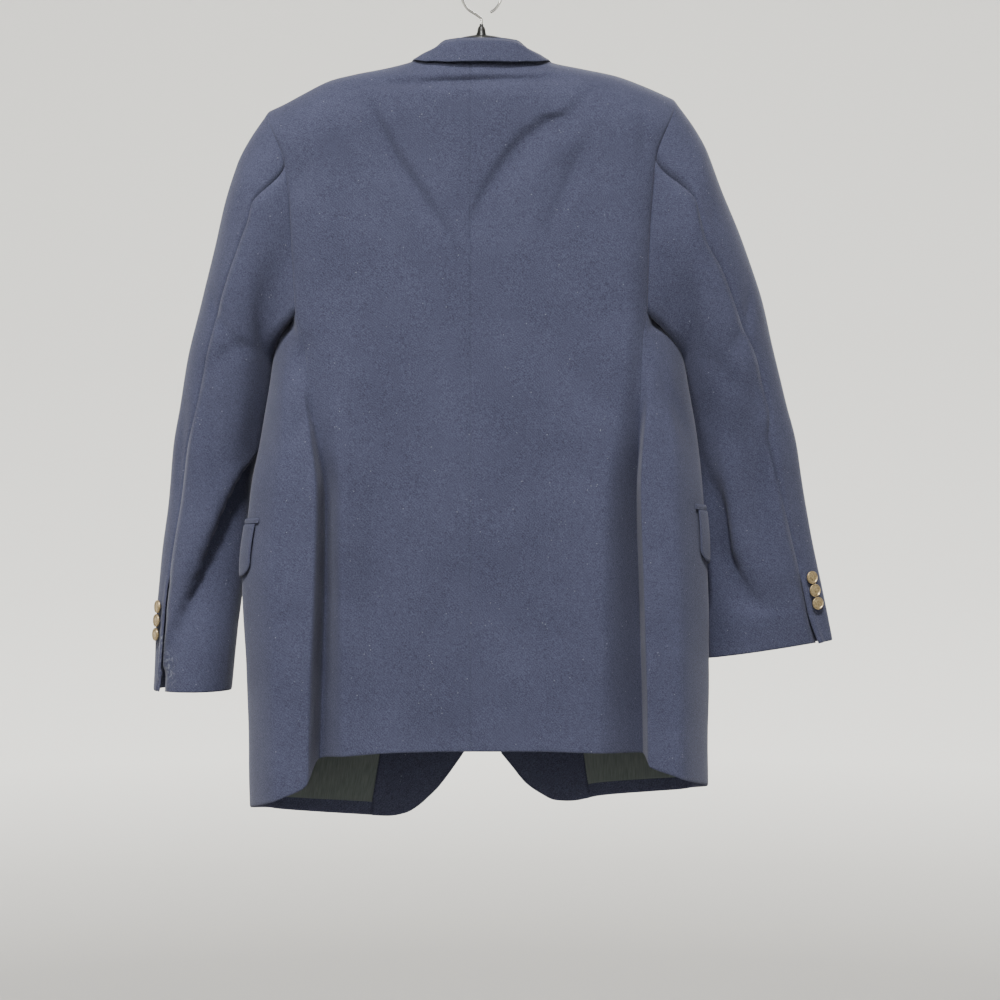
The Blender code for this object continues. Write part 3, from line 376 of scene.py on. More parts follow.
def plain_point(s, w):
    """The cloth's outer face before its drape folds, in millimetres."""
    s, w = np.broadcast_arrays(np.asarray(s, float), np.asarray(w, float))
    shoulder_x, shoulder_z = np.array(SHOULDER, float).T
    hem_s, hem_z = np.array(HEM, float).T
    hem = curve(hem_s, hem_z, s)
    angle = np.radians(90 * np.clip(2 - w, 0, 1))
    top = np.full(s.shape, FIRST_TOP)
    for _ in range(TOP_ROUNDS):
        start = top - ARCH_HEIGHT / MM
        z = np.where(w < 1, hem + (start - hem) * w, top - ARCH_HEIGHT / MM * (1 - np.cos(angle)))
        station_x, station_y = section_at(z)
        x = curve(ALL_STATIONS, station_x, s)
        top = curve(shoulder_x, shoulder_z, x)
    y = curve(ALL_STATIONS, station_y, s) * np.sin(angle)
    return np.stack([x, y, z], -1)


def directions(surface, s, w):
    """Unit steps round a surface and up it, each from a small step to both sides."""
    last = STATION["front_edge"] - SIDE_STEP
    s = np.clip(s, -last, last)
    side = surface(s + SIDE_STEP, w) - surface(s - SIDE_STEP, w)
    up = surface(s, np.minimum(w + UP_STEP, 2.0)) - surface(s, w - UP_STEP)
    return unit(side), unit(up)


def normals(surface, s, w):
    """Outward normals of a surface."""
    return unit(np.cross(*directions(surface, s, w)))


def body_point(s, w):
    """A point of the cloth's outer face, in metres."""
    s, w = np.broadcast_arrays(np.asarray(s, float), np.asarray(w, float))
    point = plain_point(s, w)
    return (point - normals(plain_point, s, w) * fold_depth(point)[..., None]) * MM


def w_at_height(s, z):
    """The w of a height z (metres) at a station, below the rounding of the shoulder."""
    low = np.zeros(np.shape(s))
    high = np.ones(np.shape(s)) * 1.999
    for _ in range(HEIGHT_ROUNDS):
        middle = (low + high) / 2
        below = plain_point(s, middle)[..., 2] * MM < z
        low = np.where(below, middle, low)
        high = np.where(below, high, middle)
    return (low + high) / 2


def underarm_w(s):
    """Where the side panel ends at the armhole."""
    floor_s, floor_z = np.array(ARMHOLE_FLOOR, float).T
    return w_at_height(s, curve(floor_s, floor_z, np.abs(s)) * MM)


print("centre back at the hem:", body_point(0.0, 0.0))

# %% [markdown]
# ## The wool
# Navy blazer cloth is a fine twill of mixed dark and light blue fibres, brushed a little.  Its colour could
# be one value, but up close it is a speckle: here noise at three scales mixes two blues, a diagonal wave
# along the `cut` UV gives the twill, and thin scattered dots are pale fibre ends.  Sheen stands for the nap
# that catches light at grazing angles.

# %% Helpers for materials
COLOUR_SOCKETS = (6, 7)  # where a Mix node takes its two colours
MIXED_COLOUR = 2         # and where it gives the result


def fill(tree, some_node, inputs):
    """Fill a node's inputs: a socket is linked, and anything else is set as the value."""
    for key, value in inputs.items():
        if isinstance(value, bpy.types.NodeSocket):
            tree.links.new(value, some_node.inputs[key])
        else:
            some_node.inputs[key].default_value = value


def node(tree, kind, inputs=(), **settings):
    """A new node of a tree, with some of its settings and inputs."""
    new_node = tree.nodes.new(kind)
    for key, value in settings.items():
        setattr(new_node, key, value)
    fill(tree, new_node, dict(inputs))
    return new_node


def new_material(name, colour, roughness, metallic=0.0):
    """A material with its tree, its Principled shader, and the outputs that say where a point is."""
    material = bpy.data.materials.new(name)
    material.use_nodes = True
    tree = material.node_tree
    shader = tree.nodes["Principled BSDF"]
    fill(tree, shader, {"Base Color": (*colour, 1), "Roughness": roughness, "Metallic": metallic})
    return material, tree, shader, node(tree, "ShaderNodeTexCoord").outputs


def noise(tree, vector, scale, detail=2.0, roughness=0.5):
    inputs = {"Vector": vector, "Scale": scale, "Detail": detail, "Roughness": roughness}
    return node(tree, "ShaderNodeTexNoise", inputs).outputs["Fac"]


def stretched(tree, value, low, high, out_low=0.0, out_high=1.0):
    """Map a range of a texture to another, and hold it there."""
    inputs = {"Value": value, "From Min": low, "From Max": high, "To Min": out_low, "To Max": out_high}
    return node(tree, "ShaderNodeMapRange", inputs).outputs["Result"]


def mixed(tree, factor, first, second):
    """Mix two colours; each may be a colour or a socket."""
    sides = [side if isinstance(side, bpy.types.NodeSocket) else (*side, 1) for side in (first, second)]
    inputs = {"Factor": factor, **dict(zip(COLOUR_SOCKETS, sides))}
    return node(tree, "ShaderNodeMix", inputs, data_type="RGBA").outputs[MIXED_COLOUR]


def maths(tree, operation, first, second):
    return node(tree, "ShaderNodeMath", {0: first, 1: second}, operation=operation).outputs[0]


def bumped(tree, shader, height, distance, strength):
    bump = node(tree, "ShaderNodeBump", {"Strength": strength, "Distance": distance, "Height": height})
    tree.links.new(bump.outputs["Normal"], shader.inputs["Normal"])


# %% Pale marks of wear
# the middle of each mark and its reach, in metres
CHALK_MARKS = [((-0.362, -0.030, -0.800), (0.016, 0.03, 0.030)),
               ((-0.372, -0.020, -0.768), (0.010, 0.03, 0.018)),
               ((0.243, -0.076, -0.508), (0.007, 0.02, 0.012))]


def chalk(tree, position):
    """How much of each rubbed mark shows: rough blots, strongest in their middle."""
    total = 0.0
    for middle, reach in CHALK_MARKS:
        shift, scale = [-m / r for m, r in zip(middle, reach)], [1 / r for r in reach]
        mapping = node(tree, "ShaderNodeMapping", {"Vector": position, "Location": shift, "Scale": scale})
        length = node(tree, "ShaderNodeVectorMath", {0: mapping.outputs["Vector"]}, operation="LENGTH")
        total = maths(tree, "ADD", stretched(tree, length.outputs["Value"], 1.0, 0.2), total)
    return maths(tree, "MULTIPLY", total, stretched(tree, noise(tree, position, 260, 3), 0.50, 0.64))


print("marks of wear:", len(CHALK_MARKS))

# %% Wool
WOOL_DARK = (0.024, 0.026, 0.051)
WOOL_LIGHT = (0.070, 0.076, 0.129)
WOOL_PALE = (0.42, 0.45, 0.50)
TWILL_PITCH = 0.0011
BANDS_IN_UNIT = 6.0      # about as many bands as a wave of scale 1 has in one metre


def make_wool():
    material, tree, shader, place = new_material("navy wool twill", WOOL_DARK, 0.86)
    position = place["Object"]
    speckle = stretched(tree, noise(tree, position, 900, 2.0, 0.7), 0.34, 0.66)
    cloud = stretched(tree, noise(tree, position, 240, 2.0, 0.6), 0.30, 0.70, -0.07, 0.07)
    wear = stretched(tree, noise(tree, position, 14, 3.0, 0.55), 0.30, 0.70, -0.09, 0.09)
    inputs = {"Vector": place["UV"], "Scale": 1 / TWILL_PITCH / BANDS_IN_UNIT, "Distortion": 1.2,
              "Detail": 1.0}
    waves = node(tree, "ShaderNodeTexWave", inputs, wave_type="BANDS", bands_direction="DIAGONAL")
    twill = waves.outputs["Fac"]
    amount = maths(tree, "ADD", maths(tree, "ADD", maths(tree, "MULTIPLY", speckle, 0.85), cloud), wear)
    amount = maths(tree, "ADD", amount, maths(tree, "MULTIPLY", twill, 0.10))
    colour = mixed(tree, amount, WOOL_DARK, WOOL_LIGHT)
    ends = node(tree, "ShaderNodeTexVoronoi", {"Vector": position, "Scale": 210}, feature="F1")
    rare = stretched(tree, noise(tree, position, 97, 0), 0.68, 0.71)
    dots = maths(tree, "MULTIPLY", stretched(tree, ends.outputs["Distance"], 0.17, 0.08), rare)
    colour = mixed(tree, maths(tree, "MULTIPLY", dots, 0.3), colour, WOOL_PALE)
    colour = mixed(tree, maths(tree, "MULTIPLY", chalk(tree, position), 0.35), colour, WOOL_PALE)
    fill(tree, shader, {"Base Color": colour, "Sheen Weight": 0.13, "Sheen Roughness": 0.5,
                        "Sheen Tint": (0.86, 0.87, 1.0, 1), "Specular IOR Level": 0.25})
    bumped(tree, shader, maths(tree, "ADD", maths(tree, "MULTIPLY", twill, 0.35), speckle), 0.00018, 0.6)
    return material


wool = make_wool()
print("wool has", len(wool.node_tree.nodes), "nodes")

# %% [markdown]
# ## Lining, thread, gilt, plastic and wire
# The lining is a green-grey satin with its floats in one direction, so it shines in bands.  Gilt buttons
# are worn: bright on their high edges and brown in their hollows.  The plastic has the faint orange-peel
# of a moulding, and the wire is bright plate.  All are noise in two or three sizes, which needs no picture.

# %% Satin
def make_satin():
    material, tree, shader, place = new_material("lining satin", (0.05, 0.065, 0.065), 0.38)
    mapping = node(tree, "ShaderNodeMapping", {"Vector": place["UV"], "Scale": (900, 60, 1)})
    floats = noise(tree, mapping.outputs["Vector"], 1.0, 2.0)
    slow = noise(tree, place["Object"], 22, 2.0)
    colour = mixed(tree, stretched(tree, floats, 0.3, 0.7), (0.034, 0.047, 0.047), (0.072, 0.092, 0.091))
    colour = mixed(tree, stretched(tree, slow, 0.35, 0.65, 0.0, 0.30), colour, (0.085, 0.095, 0.097))
    fill(tree, shader, {"Base Color": colour, "Anisotropic": 0.5, "Sheen Weight": 0.25})
    bumped(tree, shader, floats, 0.00008, 0.6)
    return material


satin = make_satin()
print("satin has", len(satin.node_tree.nodes), "nodes")


# %% Gilt, thread, plastic, wire and lint
def make_gilt():
    material, tree, shader, place = new_material("antique gilt", (0.50, 0.40, 0.25), 0.40, 0.85)
    grime = noise(tree, place["Object"], 420, 4.0, 0.65)
    pits = noise(tree, place["Object"], 1500, 2.0)
    colour = mixed(tree, stretched(tree, grime, 0.34, 0.58), (0.27, 0.20, 0.105), (0.56, 0.44, 0.26))
    fill(tree, shader, {"Base Color": colour, "Roughness": stretched(tree, grime, 0.3, 0.7, 0.50, 0.28)})
    bumped(tree, shader, maths(tree, "ADD", grime, pits), 0.00006, 0.5)
    return material


def make_thread():
    material, tree, shader, place = new_material("navy silk thread", (0.035, 0.042, 0.075), 0.45)
    twist = noise(tree, place["Object"], 2600, 2.0)
    colour = mixed(tree, twist, (0.022, 0.027, 0.050), (0.070, 0.082, 0.130))
    fill(tree, shader, {"Base Color": colour, "Sheen Weight": 0.3})
    bumped(tree, shader, twist, 0.00010, 0.7)
    return material


def make_plastic():
    material, tree, shader, place = new_material("black hanger plastic", (0.015, 0.015, 0.014), 0.38)
    peel = noise(tree, place["Object"], 700, 2.0)
    dust = stretched(tree, noise(tree, place["Object"], 90, 4.0, 0.7), 0.45, 0.75, 0.0, 0.5)
    colour = mixed(tree, dust, (0.010, 0.010, 0.009), (0.034, 0.033, 0.030))
    fill(tree, shader, {"Base Color": colour, "Roughness": stretched(tree, dust, 0.0, 0.5, 0.32, 0.55)})
    bumped(tree, shader, peel, 0.00006, 0.5)
    return material


def make_wire():
    material, tree, shader, place = new_material("bright plated wire", (0.72, 0.72, 0.70), 0.16, 1.0)
    wear = noise(tree, place["Object"], 260, 3.0, 0.6)
    colour = mixed(tree, stretched(tree, wear, 0.4, 0.75), (0.80, 0.79, 0.77), (0.55, 0.54, 0.52))
    fill(tree, shader, {"Base Color": colour, "Roughness": stretched(tree, wear, 0.35, 0.75, 0.12, 0.30)})
    bumped(tree, shader, wear, 0.00004, 0.4)
    return material


def make_lint():
    material, tree, shader, place = new_material("pale lint", (0.62, 0.64, 0.68), 0.9)
    colour = mixed(tree, noise(tree, place["Object"], 120, 1.0), (0.40, 0.43, 0.50), (0.80, 0.80, 0.80))
    fill(tree, shader, {"Base Color": colour})
    return material


gilt, thread, plastic, wire, lint = make_gilt(), make_thread(), make_plastic(), make_wire(), make_lint()
print("materials:", [m.name for m in (wool, satin, gilt, thread, plastic, wire, lint)])

# %% [markdown]
# ## From a sheet of points to cloth
# A panel could be one open sheet with a Solidify modifier.  Here both faces are laid out directly, because
# a tailor's edges are not all alike: at a seam the allowance turns in and the outer face rolls down, at a
# hem or a lapel both faces roll together.  Each shell also gets a UV map in metres along the cloth, named
# `cut`, so that the weave runs with it.

# %% Rows, columns and edges of a panel
EDGE_STEPS = np.array([0.5, 1.2, 2.2, 3.6])     # millimetres: closer columns beside an edge
SEAM = (0.55, 0.0)       # millimetres that the outer and the inner face roll in at a seam
FREE = (0.75, 0.75)      # at an edge that hangs free
ROLL_WIDTH = 2.6         # millimetres over which the faces roll
TUCK = 0.0002            # at a seam both edges reach past its line, so that no light comes through
PANEL_LENGTH = 900       # about a panel's length in millimetres, which sets its number of rows
made = {}                # what each shell was made from, by its name


def spaced(start, end, step, first=True, last=True):
    """Places from start to end, closer together beside both ends."""
    length = end - start
    if abs(length) < 2 * EDGE_STEPS[-1] + 2:
        return np.linspace(start, end, 5)
    count = max(2, int(round(abs(length) / step)) + 1)
    places = np.linspace(start, end, count)
    way = math.copysign(1, length)
    clear = EDGE_STEPS[-1] + 1.0
    inner = places[(np.abs(places - start) > clear) & (np.abs(end - places) > clear)]
    head = start + way * EDGE_STEPS if first else np.array([])
    tail = end - way * EDGE_STEPS[::-1] if last else np.array([])
    return np.concatenate([[start], head, inner, tail, [end]])


def along_lengths(points, axis):
    """Distance along a grid's lines from its first edge, in metres."""
    step = np.linalg.norm(np.diff(points, axis=axis), axis=-1)
    start = np.zeros_like(np.take(step, [0], axis=axis))
    return np.concatenate([start, np.cumsum(step, axis=axis)], axis=axis)


def grid_faces(rows, columns):
    """Quads over a grid of points, rows up and columns round."""
    index = np.arange(rows * columns).reshape(rows, columns)
    return np.stack([index[:-1, :-1], index[:-1, 1:], index[1:, 1:], index[1:, :-1]], -1).reshape(-1, 4)


def rolled(distance, amount):
    """How far a face rolls in, at a distance from the edge, in metres."""
    near = np.clip(1 - distance / (ROLL_WIDTH * MM), 0, 1)
    return amount * MM * near ** 2


def grid_normals(points):
    """Outward normals of a grid whose rows go up and whose columns go round from left to right."""
    return unit(np.cross(np.gradient(points, axis=1), np.gradient(points, axis=0)))


print("columns over 30 mm:", spaced(0, 30, STEP).tolist())


# %% A closed shell of cloth
def add_piece(name, points, faces, material):
    """A new smooth-shaded object from plain lists."""
    mesh = bpy.data.meshes.new(name)
    mesh.from_pydata(np.asarray(points).tolist(), [], faces)
    mesh.shade_smooth()
    mesh.materials.append(material)
    piece = bpy.data.objects.new(name, mesh)
    bpy.context.scene.collection.objects.link(piece)
    return piece


def shell(name, outer, normal, thickness, material, edges=(SEAM, SEAM, SEAM, SEAM)):
    """A closed shell of cloth.  outer is a grid of points, rows up and columns round; edges are the
    rolls of the bottom, right, top and left edge."""
    rows, columns = outer.shape[:2]
    across, up = along_lengths(outer, 1), along_lengths(outer, 0)
    distance = (up, across[:, -1:] - across, up[-1:] - up, across)
    face_drop = np.max([rolled(d, edge[0]) for d, edge in zip(distance, edges)], axis=0)
    back_rise = np.max([rolled(d, edge[1]) for d, edge in zip(distance, edges)], axis=0)
    front = outer - normal * face_drop[..., None]
    back = outer - normal * (thickness - back_rise)[..., None]
    count = rows * columns
    index = np.arange(count).reshape(rows, columns)
    face = grid_faces(rows, columns)
    border = np.concatenate([index[0, :], index[1:, -1], index[-1, -2::-1], index[-2:0:-1, 0]])
    after = np.roll(border, -1)
    rim = np.stack([border + count, after + count, after, border], -1)
    faces = np.concatenate([face, face[:, ::-1] + count, rim])
    points = np.concatenate([front.reshape(-1, 3), back.reshape(-1, 3)])
    piece = add_piece(name, points, faces.tolist(), material)
    flat = np.stack([np.broadcast_to(across, (rows, columns)), np.broadcast_to(up, (rows, columns))], -1)
    flat = np.tile(flat.reshape(-1, 2), (2, 1))
    layer = piece.data.uv_layers.new(name="cut")
    layer.data.foreach_set("uv", flat[faces.ravel()].ravel())
    diagonals = outer[1:, 1:] - outer[:-1, :-1], outer[1:, :-1] - outer[:-1, 1:]
    area = 0.5 * np.linalg.norm(np.cross(*diagonals), axis=-1).sum()
    made[name] = {"outer": outer, "normal": normal, "width": float(across[:, -1].max()),
                  "length": float(up[-1].max()), "area": float(area)}
    return piece


# %% What a piece stands for
def stand_for(piece, node_name):
    """Tie a piece to the body and let it stand for a piece of the frame."""
    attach(piece, "root")
    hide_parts(node_name)


def dress(piece, node_name):
    stand_for(piece, node_name)


# %% Shells on the body
def body_shell(name, s, w, thickness, material, lift=0.0, edges=(SEAM, SEAM, SEAM, SEAM)):
    """A shell on the body's surface, drawn in from its neighbours and moved out by lift."""
    point = plain_point(s, w)
    point = (point - grid_normals(point) * fold_depth(point)[..., None]) * MM
    normal = grid_normals(point)
    across, along = unit(np.gradient(point, axis=1)), unit(np.gradient(point, axis=0))
    point = point + normal * np.broadcast_to(lift, point.shape[:2])[..., None]
    bottom, right, top, left = [-TUCK if edge == SEAM else GAP / 2 for edge in edges]
    point[:, 0] += across[:, 0] * left
    point[:, -1] -= across[:, -1] * right
    point[0] += along[0] * bottom
    point[-1] -= along[-1] * top
    return shell(name, point, normal, thickness, material, edges)


def rows_up(top_w):
    """Heights of a panel's rows from the hem to its top, closer together beside both ends."""
    return spaced(0, PANEL_LENGTH, STEP)[:, None] / PANEL_LENGTH * top_w


print("rows of a panel:", len(rows_up(2.0)))

# %% [markdown]
# ## Backs and side panels
# Two backs meet in the centre-back seam, and each has a side panel that comes forward out of a deep fold.
# The seams are only the rolled edges of neighbouring shells, 0.3 mm apart, which is how a pressed-open seam
# looks: a fine dark line in a shallow valley.

# %% Backs
def neck_w(s):
    """Where the back panel ends: lower in the middle of the neck, at the seam on the shoulders."""
    across = np.abs(plain_point(s, 2.0)[..., 0]) / NECK_HALF_WIDTH
    return 2.0 - NECK_DIP * np.sqrt(np.clip(1 - across ** 2, 0, 1))


def back_rows(s):
    """Heights of a back's rows: level up to the shoulders, and from there up to the neck's curve."""
    w = rows_up(2.0 + 0 * s)
    return np.where(w < 1, w, 1 + (w - 1) * (neck_w(s) - 1))


def side_stations(side, start, end, step=STEP):
    """Stations of a panel on one side, always in rising order."""
    stations = spaced(STATION[start], STATION[end], step)
    return stations[None, :] if side == "right" else -stations[None, ::-1]


for side in ("left", "right"):
    s = side_stations(side, "centre", "seam", 3.5)
    back = body_shell("cloth_back_" + side, s, back_rows(s), CLOTH, wool,
                      edges=(FREE, SEAM, SEAM, SEAM))
    dress(back, "back_" + side)

# %% Side panels
for side in ("left", "right"):
    s = side_stations(side, "seam", "front_seam")
    panel = body_shell("cloth_side_" + side, s, rows_up(underarm_w(s)), CLOTH, wool,
                       edges=(FREE, SEAM, SEAM, SEAM))
    dress(panel, "side_" + side)

# %% [markdown]
# ## Fronts, facings and lining
# The left front laps over the right one and is cut away in a round corner below.  From behind, its inner
# face shows under the back hem: a facing of the same wool along the edge, and satin from there to the side.

# %% Fronts
for side in ("left", "right"):
    s = side_stations(side, "front_seam", "front_edge")
    edges = (FREE, FREE, SEAM, SEAM) if side == "right" else (FREE, SEAM, SEAM, FREE)
    front = body_shell("cloth_front_" + side, s, rows_up(2.0 + 0 * s), CLOTH, wool,
                       edges=edges)
    dress(front, "front_" + side)

# %% Facings and lining
FACING_STATION = 461.0
FACING_TOP_W = 1.86      # both stop below the shoulder seam
LINING_TOP_W = 0.72
LINING_HEM_W = 0.02
PLEAT = 0.9              # depth of the lining's soft pleats, millimetres
PLEAT_TURN = 0.19        # radians for each station
PLEAT_SWAY, PLEAT_SWAY_TURN = 2.2, 9     # how far the pleats sway on their way up, in radians, and how often
for side in ("left", "right"):
    sign = SIGN[side]
    s = np.sort(spaced(FACING_STATION, STATION["front_edge"], STEP) * sign)[None, :]
    w = rows_up(FACING_TOP_W + 0 * s)
    facing = body_shell("cloth_facing_" + side, s, w, FACING, wool, lift=-CLOTH - GAP,
                        edges=(FREE, FREE, FREE, FREE))
    dress(facing, "facing_" + side)
    s = np.sort(spaced(STATION["front_seam"], FACING_STATION, STEP) * sign)[None, :]
    w = LINING_HEM_W + rows_up(LINING_TOP_W - LINING_HEM_W + 0 * s)
    pleat_angle = np.abs(s) * PLEAT_TURN + PLEAT_SWAY * np.sin(w * PLEAT_SWAY_TURN)
    pleats = PLEAT * MM * (0.5 + 0.5 * np.sin(pleat_angle))
    lining = body_shell("satin_lining_" + side, s, w, SATIN, satin, lift=-CLOTH - GAP - pleats,
                        edges=(FREE, FREE, FREE, FREE))
    dress(lining, "lining_" + side)

# %% [markdown]
# ## Lapels
# The lapel is the facing turned over the roll line.  It lies on the front's own points, moved out, and
# rolls up softly where it turns, so it follows the chest exactly and still casts a line of shadow.

# %% Lapels
# The lapel, from the break of the roll line up: height of a row and its width.
LAPEL = [(-512, 4), (-450, 26), (-380, 50), (-300, 72), (-225, 90)]
LAPEL_START = {"left": -512, "right": -462}    # the right one comes out from under the left front
LAPEL_TOP = (-186, -226)                 # the height of its upper edge at the roll line and outside
LAPEL_LENGTH = 280       # about its length in millimetres, which sets its number of rows
LAPEL_STEP = 3.0
LAPEL_LIFT = 0.0009
LAPEL_ROLL = 0.0040      # how far it stands up where it turns
ROLL_POWER = 1.5         # how close to the turn it stands highest
ROLL_RISE = 6            # how fast the roll comes up from the break
for side in ("left", "right"):
    row_z, row_width = np.array(LAPEL, float).T
    up = spaced(0, LAPEL_LENGTH, STEP)[:, None] / LAPEL_LENGTH
    across = spaced(0, LAPEL[-1][1], LAPEL_STEP)[None, :] / LAPEL[-1][1]
    top_z = LAPEL_TOP[0] + (LAPEL_TOP[1] - LAPEL_TOP[0]) * across
    z = LAPEL_START[side] + (top_z - LAPEL_START[side]) * up
    width = curve(row_z, row_width, np.clip(z, row_z[0], row_z[-1]))
    s = STATION["front_edge"] - 1 - width * across
    w = w_at_height(s * SIGN[side], z * MM)
    arch = np.sin(math.pi * (1 - across) ** ROLL_POWER)
    roll = LAPEL_LIFT + LAPEL_ROLL * arch * np.minimum(1, ROLL_RISE * up ** 2)
    if side == "left":
        s = -s
    else:
        s, w, roll = s[:, ::-1], w[:, ::-1], roll[:, ::-1]
    lapel = body_shell("cloth_lapel_" + side, s, w, CLOTH, wool, lift=roll + CLOTH,
                       edges=(FREE, FREE, FREE, FREE))
    dress(lapel, "lapel_" + side)

# %% [markdown]
# ## Pockets
# Each hip pocket has a narrow jet over its mouth and a flap under it; the breast pocket has only a welt.
# All lie on the front's points, moved out, and the flap's lower corners are rounded.

# %% Flaps, jets and welt
# Pockets: station and height (millimetres of z at the top edge) of each end.
FLAP_ENDS = {"left": (-266, -420, -634, -646), "right": (268, 420, -618, -632)}
FLAP_DROP = 60.0
JET_HEIGHT = 6.0
WELT = (-448, -398, -300, -288, 24.0)    # stations, heights of the ends and drop
FLAP_CORNER = 14.0       # radius of its lower corners
FLAP_BOW = 0.0008
JET_OVER = 3             # a jet is this much longer than its flap at each end
PATCH_GAP = 0.8
PATCH_LIFT = 0.0014
PATCH_STEP = 3.0


def patch(name, ends, drop, lift, thickness, corner=0.0, bow=0.0):
    """A flap, jet or welt between two stations of the body, its top edge on a line."""
    start_s, end_s, start_z, end_z = ends
    s = spaced(min(start_s, end_s), max(start_s, end_s), PATCH_STEP)[None, :]
    t = (s - start_s) / (end_s - start_s)
    from_end = np.minimum(t, 1 - t) * abs(end_s - start_s)
    inside = np.clip(1 - from_end / max(corner, 1e-6), 0, 1)
    cut = corner * (1 - np.sqrt(1 - inside ** 2))
    down = spaced(drop, 0, PATCH_STEP)[:, None] / drop
    z = start_z + (end_z - start_z) * t - down * (drop - cut)
    out = lift + thickness + bow * np.sin(math.pi * np.clip(down, 0, 1)) * (0.6 + 0.4 * np.cos(t * 9))
    return body_shell(name, s + 0 * z, w_at_height(s + 0 * z, z * MM), thickness, wool, lift=out,
                      edges=(FREE, FREE, FREE, FREE))


for side in ("left", "right"):
    ends = FLAP_ENDS[side]
    over, up = JET_OVER * SIGN[side], JET_HEIGHT + PATCH_GAP
    jet_ends = (ends[0] - over, ends[1] + over, ends[2] + up, ends[3] + up)
    jet = patch("cloth_jet_" + side, jet_ends, JET_HEIGHT, PATCH_LIFT, FACING)
    stand_for(jet, "jet_" + side)
    flap = patch("cloth_flap_" + side, ends, FLAP_DROP, PATCH_LIFT, FLAP, FLAP_CORNER, FLAP_BOW)
    dress(flap, "flap_" + side)
welt = patch("cloth_breast_welt", WELT[:4], WELT[4], GAP, FACING)
dress(welt, "breast_welt")

# %% [markdown]
# ## Sleeves
# A sleeve is cut in two pieces, and both hang from the armhole as one bent tube.  Each row of its table
# gives the outer and the inner point of the outline, the depth, and the angles of both seams.  Its creases
# have places of their own: a row of the table and an angle round the tube, from the outer point (0) over
# the back (90) to the inner point (180).

# %% Sleeve sections
# Sleeve sections from the armhole to the cuff: the outer and the inner point of the outline,
# the middle and half of the depth, and the angles of the back seam and the inner seam.
SLEEVE_COLUMNS = ("outer_x", "outer_z", "inner_x", "inner_z", "mid_y", "half_depth",
                  "back_seam", "inner_seam")
SLEEVE_LEFT = [
    (-259, -169, -229, -405, -4, 54, 57, 236),
    (-271, -190, -232, -406, -3, 57, 69, 238),
    (-283, -222, -235, -409, -2, 58, 76, 240),
    (-296, -262, -238, -414, 0, 58, 75, 240),
    (-310, -322, -242, -426, 2, 57, 69, 240),
    (-325, -380, -244, -446, 4, 55, 65, 240),
    (-341, -445, -251, -482, 6, 52, 64, 240),
    (-350, -500, -260, -524, 8, 50, 61, 240),
    (-358, -545, -268, -566, 10, 49, 57, 240),
    (-364, -610, -274, -622, 12, 48, 54, 240),
    (-373, -678, -279, -684, 14, 47, 50, 240),
    (-379, -750, -285, -752, 15, 46, 46, 240),
    (-382, -828, -292, -828, 16, 45, 42, 240),
]
SLEEVE_RIGHT = [
    (237, -157, 217, -404, -4, 54, 60, 236),
    (250, -178, 220, -405, -3, 57, 69, 238),
    (263, -210, 223, -408, -2, 58, 76, 240),
    (277, -247, 226, -413, 0, 58, 80, 240),
    (300, -302, 230, -425, 2, 56, 75, 240),
    (325, -375, 236, -446, 5, 52, 72, 240),
    (342, -445, 245, -479, 9, 47, 60, 240),
    (355, -495, 254, -520, 13, 42, 60, 240),
    (367, -540, 259, -558, 17, 38, 70, 240),
    (378, -610, 261, -622, 21, 34, 61, 240),
    (392, -678, 262, -690, 24, 29, 53, 240),
    (404, -735, 263, -748, 26, 25, 50, 240),
    (411, -771, 265, -792, 27, 22, 43, 240),
]
print("sections of a sleeve:", len(SLEEVE_LEFT))
